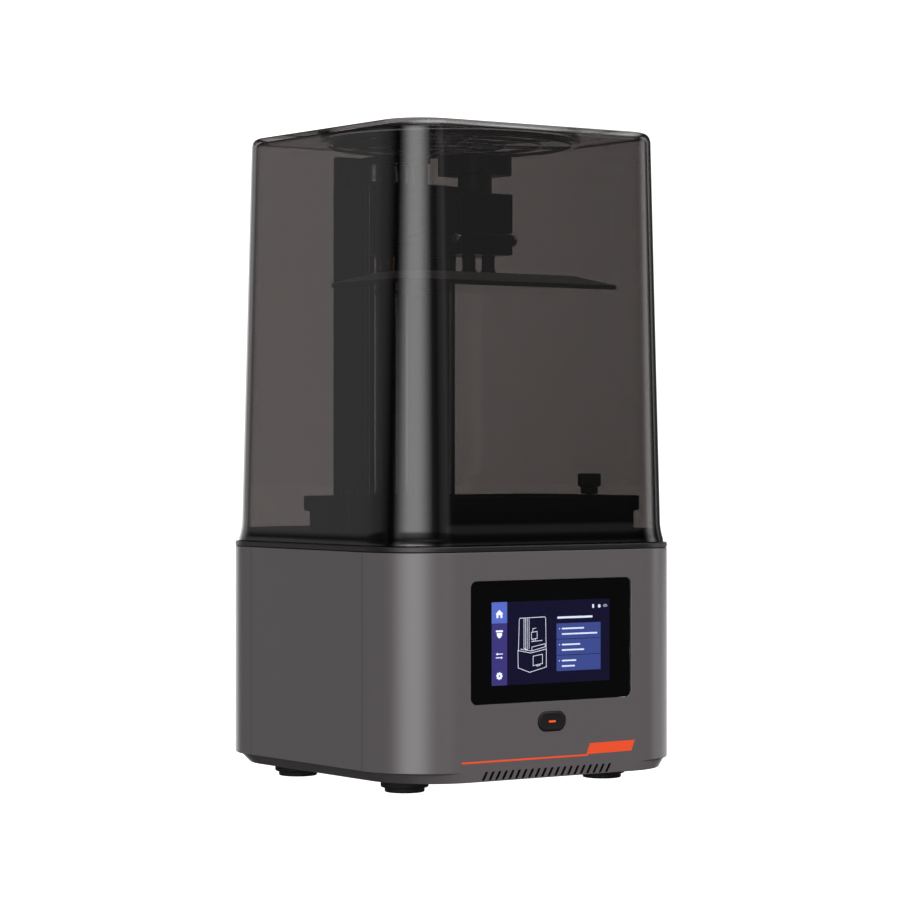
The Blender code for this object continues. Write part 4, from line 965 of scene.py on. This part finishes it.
rings = [level(knob_outline(d), z) for z, d in (
    (0.3765, 0.0010), (0.3767, 0.0004), (0.3772, 0.0), (0.3880, 0.0), (0.3888, 0.0004), (0.3892, 0.0014))]
knob = loft("knob_body", rings)
neck = turned("knob_neck", [(0, 0.3656), (0.0100, 0.3656), (0.0106, 0.3662), (0.0106, 0.3780), (0, 0.3780)],
              (0, PLATFORM_Y, 0), 48)
crown = turned("knob_crown", [(0, 0.3850), (0.0132, 0.3850), (0.0132, 0.3894), (0.0124, 0.38995),
                              (0.0060, 0.38995), (0.0054, 0.3895), (0, 0.3895)], (0, PLATFORM_Y, 0), 56)
combine(knob, [neck, crown], "UNION")
piece(knob, "platform_knob", "black_plastic", node="platform_knob")

# ---- CAD nodes that stay, with their finishes
KEPT = {
    "dark_steel": ("base_plate", "button_switch", "stepper_motor"),
    "circuit_board": ("display_board", "mainboard"),
    "polished_steel": ("usb_port", "motor_shaft"),
    "black_plastic": ("power_inlet", "light_fan_frame", "light_fan_rotor", "exhaust_fan_frame",
                      "exhaust_fan_rotor", "light_housing", "limit_switch"),
    "clear_film": ("light_lens", "vat_film"),
    "aluminium": ("light_board", "heat_sink", "vat_film_frame", "motor_bracket", "screw_coupler"),
}
for finish, names in KEPT.items():
    for name in names:
        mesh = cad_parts[name].data
        mesh.materials.clear()
        mesh.materials.append(M[finish])
tongue_low, tongue_high = (0.0980, USB_Y - 0.0055, USB_Z + 0.0004), (0.1085, USB_Y + 0.0055, USB_Z + 0.0018)
piece(bevel(block("usb_tongue", tongue_low, tongue_high), 0.0002), "base", "black_plastic")
pin = turned("inlet_pin", [(0, 0.1070), (0.0006, 0.1070), (0.0010, 0.1064), (0.0010, 0.0972), (0, 0.0972)],
             (INLET_X, 0.0, INLET_Z), 24, "Y")
piece(pin, "base", "polished_steel")

# ---- studio
def wired(tree, kind, *inputs, **values):
    """Adds a node whose first inputs are given in order, as links or plain values."""
    node = tree.nodes.new("ShaderNode" + kind)
    for key, value in values.items():
        setattr(node, key, value)
    for socket, value in zip(node.inputs, inputs):
        if isinstance(value, bpy.types.NodeSocket):
            tree.links.new(value, socket)
        elif value is not None:
            socket.default_value = value
    return node


def maths(tree, operation, *inputs):
    return wired(tree, "Math", *inputs, operation=operation).outputs[0]


def bearing_of(tree, vector):
    """Bearing of a direction as a share of a turn: 0.5 along -X, more towards -Y; with its y and its height z."""
    x, y, z = wired(tree, "SeparateXYZ", vector).outputs
    turn = maths(tree, "ARCTAN2", *(maths(tree, "MULTIPLY", axis, -1.0) for axis in (y, x)))
    return maths(tree, "MULTIPLY_ADD", turn, 1 / TURN, 0.5), y, z


def soft_step(tree, value, *steps):
    """Eases between two values of its input, from 0 to 1 or between the two further steps."""
    return wired(tree, "MapRange", value, *steps, interpolation_type="SMOOTHSTEP").outputs[0]


def backdrop_white(tree, bearing):
    """The white behind the part, a little dimmer towards its right."""
    return soft_step(tree, bearing, 51 / 360, 58 / 360, 1.15, 1.55)


floor = added("floor", bpy.data.meshes.new("floor"))
bm = bmesh.new()
bmesh.ops.create_grid(bm, x_segments=2, y_segments=2, size=14.0)
bm.to_mesh(floor.data)
bm.free()
floor.location = (0, 0, -0.0001)
floor.visible_diffuse = floor.visible_glossy = floor.visible_transmission = False
paint = Shader("pale_floor")
paint.sets(Base_Color=(0.25, 0.25, 0.25, 1), Roughness=0.9, Specular_IOR_Level=0.1, Emission_Color=(1, 1, 1, 1))
around, _, _ = bearing_of(paint.tree, paint.place())
paint.drives("Emission Strength", maths(paint.tree, "SUBTRACT", backdrop_white(paint.tree, around), 0.30))
floor.data.materials.append(paint.material)

# the room's light by bearing in degrees, from -X (0) by -Y (90) to +X (180), at and below eye level
ROOM_LOW = (
    (-180, 0.85), (-162, 1.2), (-150, 0.8), (-142, 1.7), (-95, 1.7), (-84, 0.60), (-75, 0.34), (-66, 0.20),
    (-60, 0.40), (-50, 0.40), (-27, 0.36), (-13, 0.16), (-4, 0.02), (4, 0.05), (12, 0.80), (20, 2.1), (29, 3.5),
    (37, 4.0), (49, 4.0), (54, 3.7), (62, 2.6), (70, 1.3), (78, 0.20), (87, 0.09), (96, 0.34), (105, 0.42),
    (113, 0.008), (150, 0.008), (158, 0.75), (166, 0.90), (173, 0.85), (180, 0.85),
)
# what differs above the level of the base
ROOM_HIGH = {-180: 0.05, -162: 0.05, -150: 0.05, 158: 1.7, 166: 2.4, 173: 0.5, 180: 0.05}
FRONT_GLOW = ((-180, 0), (100, 0), (108, 0.27), (128, 0.22), (136, 0.08), (142, 0), (180, 0))
SCALE = 5.0  # of the ramps' values

# fades by a direction's height z or by its y: from, to, and the shares there
BASE_LEVEL, GLOW_RISE, CEILING_RISE = (-0.035, -0.025), (-0.01, 0.10), (0.42, 0.80)
FLOOR_FADE, WALL_TOP = (-0.40, -0.15, 0.06, 1.0), (0.30, 0.50, 1.0, 0.0)
DIMMED = (((0.15, 0.25), (0.0, 0.4, 0.0, 0.80)), ((0.20, 0.32), (-0.4, -0.1, 0.75, 0.0)))  # behind, and in front
CEILING = (-0.75, 0.0, 1.5, 0.15)


def studio_world():
    """White behind the part as the camera sees it; for light and gloss, a room with softboxes."""
    world = bpy.data.worlds.new("studio")
    bpy.context.scene.world = world
    world.use_nodes = True
    tree = world.node_tree
    tree.nodes.clear()

    def ramp(stops):
        node = wired(tree, "ValToRGB", bearing)
        elements = node.color_ramp.elements
        for k, (degrees, value) in enumerate(stops):
            spot = (degrees + 180) / 360
            if k == 0:
                element = elements[0]
            elif k == len(stops) - 1:
                element = elements[len(elements) - 1]
            else:
                element = elements.new(spot)
            element.position = spot
            element.color = (value / SCALE,) * 3 + (1.0,)
        return node.outputs["Color"]

    bearing, y, z = bearing_of(tree, wired(tree, "TexCoord").outputs["Generated"])
    walls = wired(tree, "Mix", soft_step(tree, z, *BASE_LEVEL), data_type="RGBA")
    tree.links.new(ramp(ROOM_LOW), walls.inputs[6])
    tree.links.new(ramp([(b, ROOM_HIGH.get(b, v)) for b, v in ROOM_LOW]), walls.inputs[7])
    glow = wired(tree, "VectorMath", ramp(FRONT_GLOW), operation="SCALE")
    tree.links.new(soft_step(tree, z, *GLOW_RISE), glow.inputs["Scale"])
    walls = wired(tree, "VectorMath", walls.outputs[2], glow.outputs[0], operation="ADD")
    height = maths(tree, "MULTIPLY", soft_step(tree, z, *FLOOR_FADE), soft_step(tree, z, *WALL_TOP))
    for rise, depth in DIMMED:
        dimmed = maths(tree, "MULTIPLY", soft_step(tree, z, *rise), soft_step(tree, y, *depth))
        height = maths(tree, "MULTIPLY", height, maths(tree, "SUBTRACT", 1.0, dimmed))
    ceiling = maths(tree, "MULTIPLY", soft_step(tree, z, *CEILING_RISE), soft_step(tree, y, *CEILING))
    light = wired(tree, "VectorMath", walls.outputs[0], operation="SCALE")
    tree.links.new(height, light.inputs["Scale"])
    both = wired(tree, "VectorMath", light.outputs[0], ceiling, operation="ADD").outputs[0]
    room = wired(tree, "Background", both, SCALE).outputs[0]
    white = wired(tree, "Background", (1, 1, 1, 1), backdrop_white(tree, bearing)).outputs[0]
    seen = wired(tree, "LightPath").outputs["Is Camera Ray"]
    wired(tree, "OutputWorld", wired(tree, "MixShader", seen, room, white).outputs[0])


studio_world()

camera = added("camera", bpy.data.cameras.new("camera"))
camera.data.lens, camera.data.sensor_width = 127.2, 36.0
camera.data.clip_end = 60
camera.location = (-1.152, -1.644, 0.2057)
camera.rotation_euler = (math.pi / 2, 0, -math.radians(35.03))
bpy.context.scene.camera = camera
bpy.context.scene.view_settings.view_transform = "Standard"
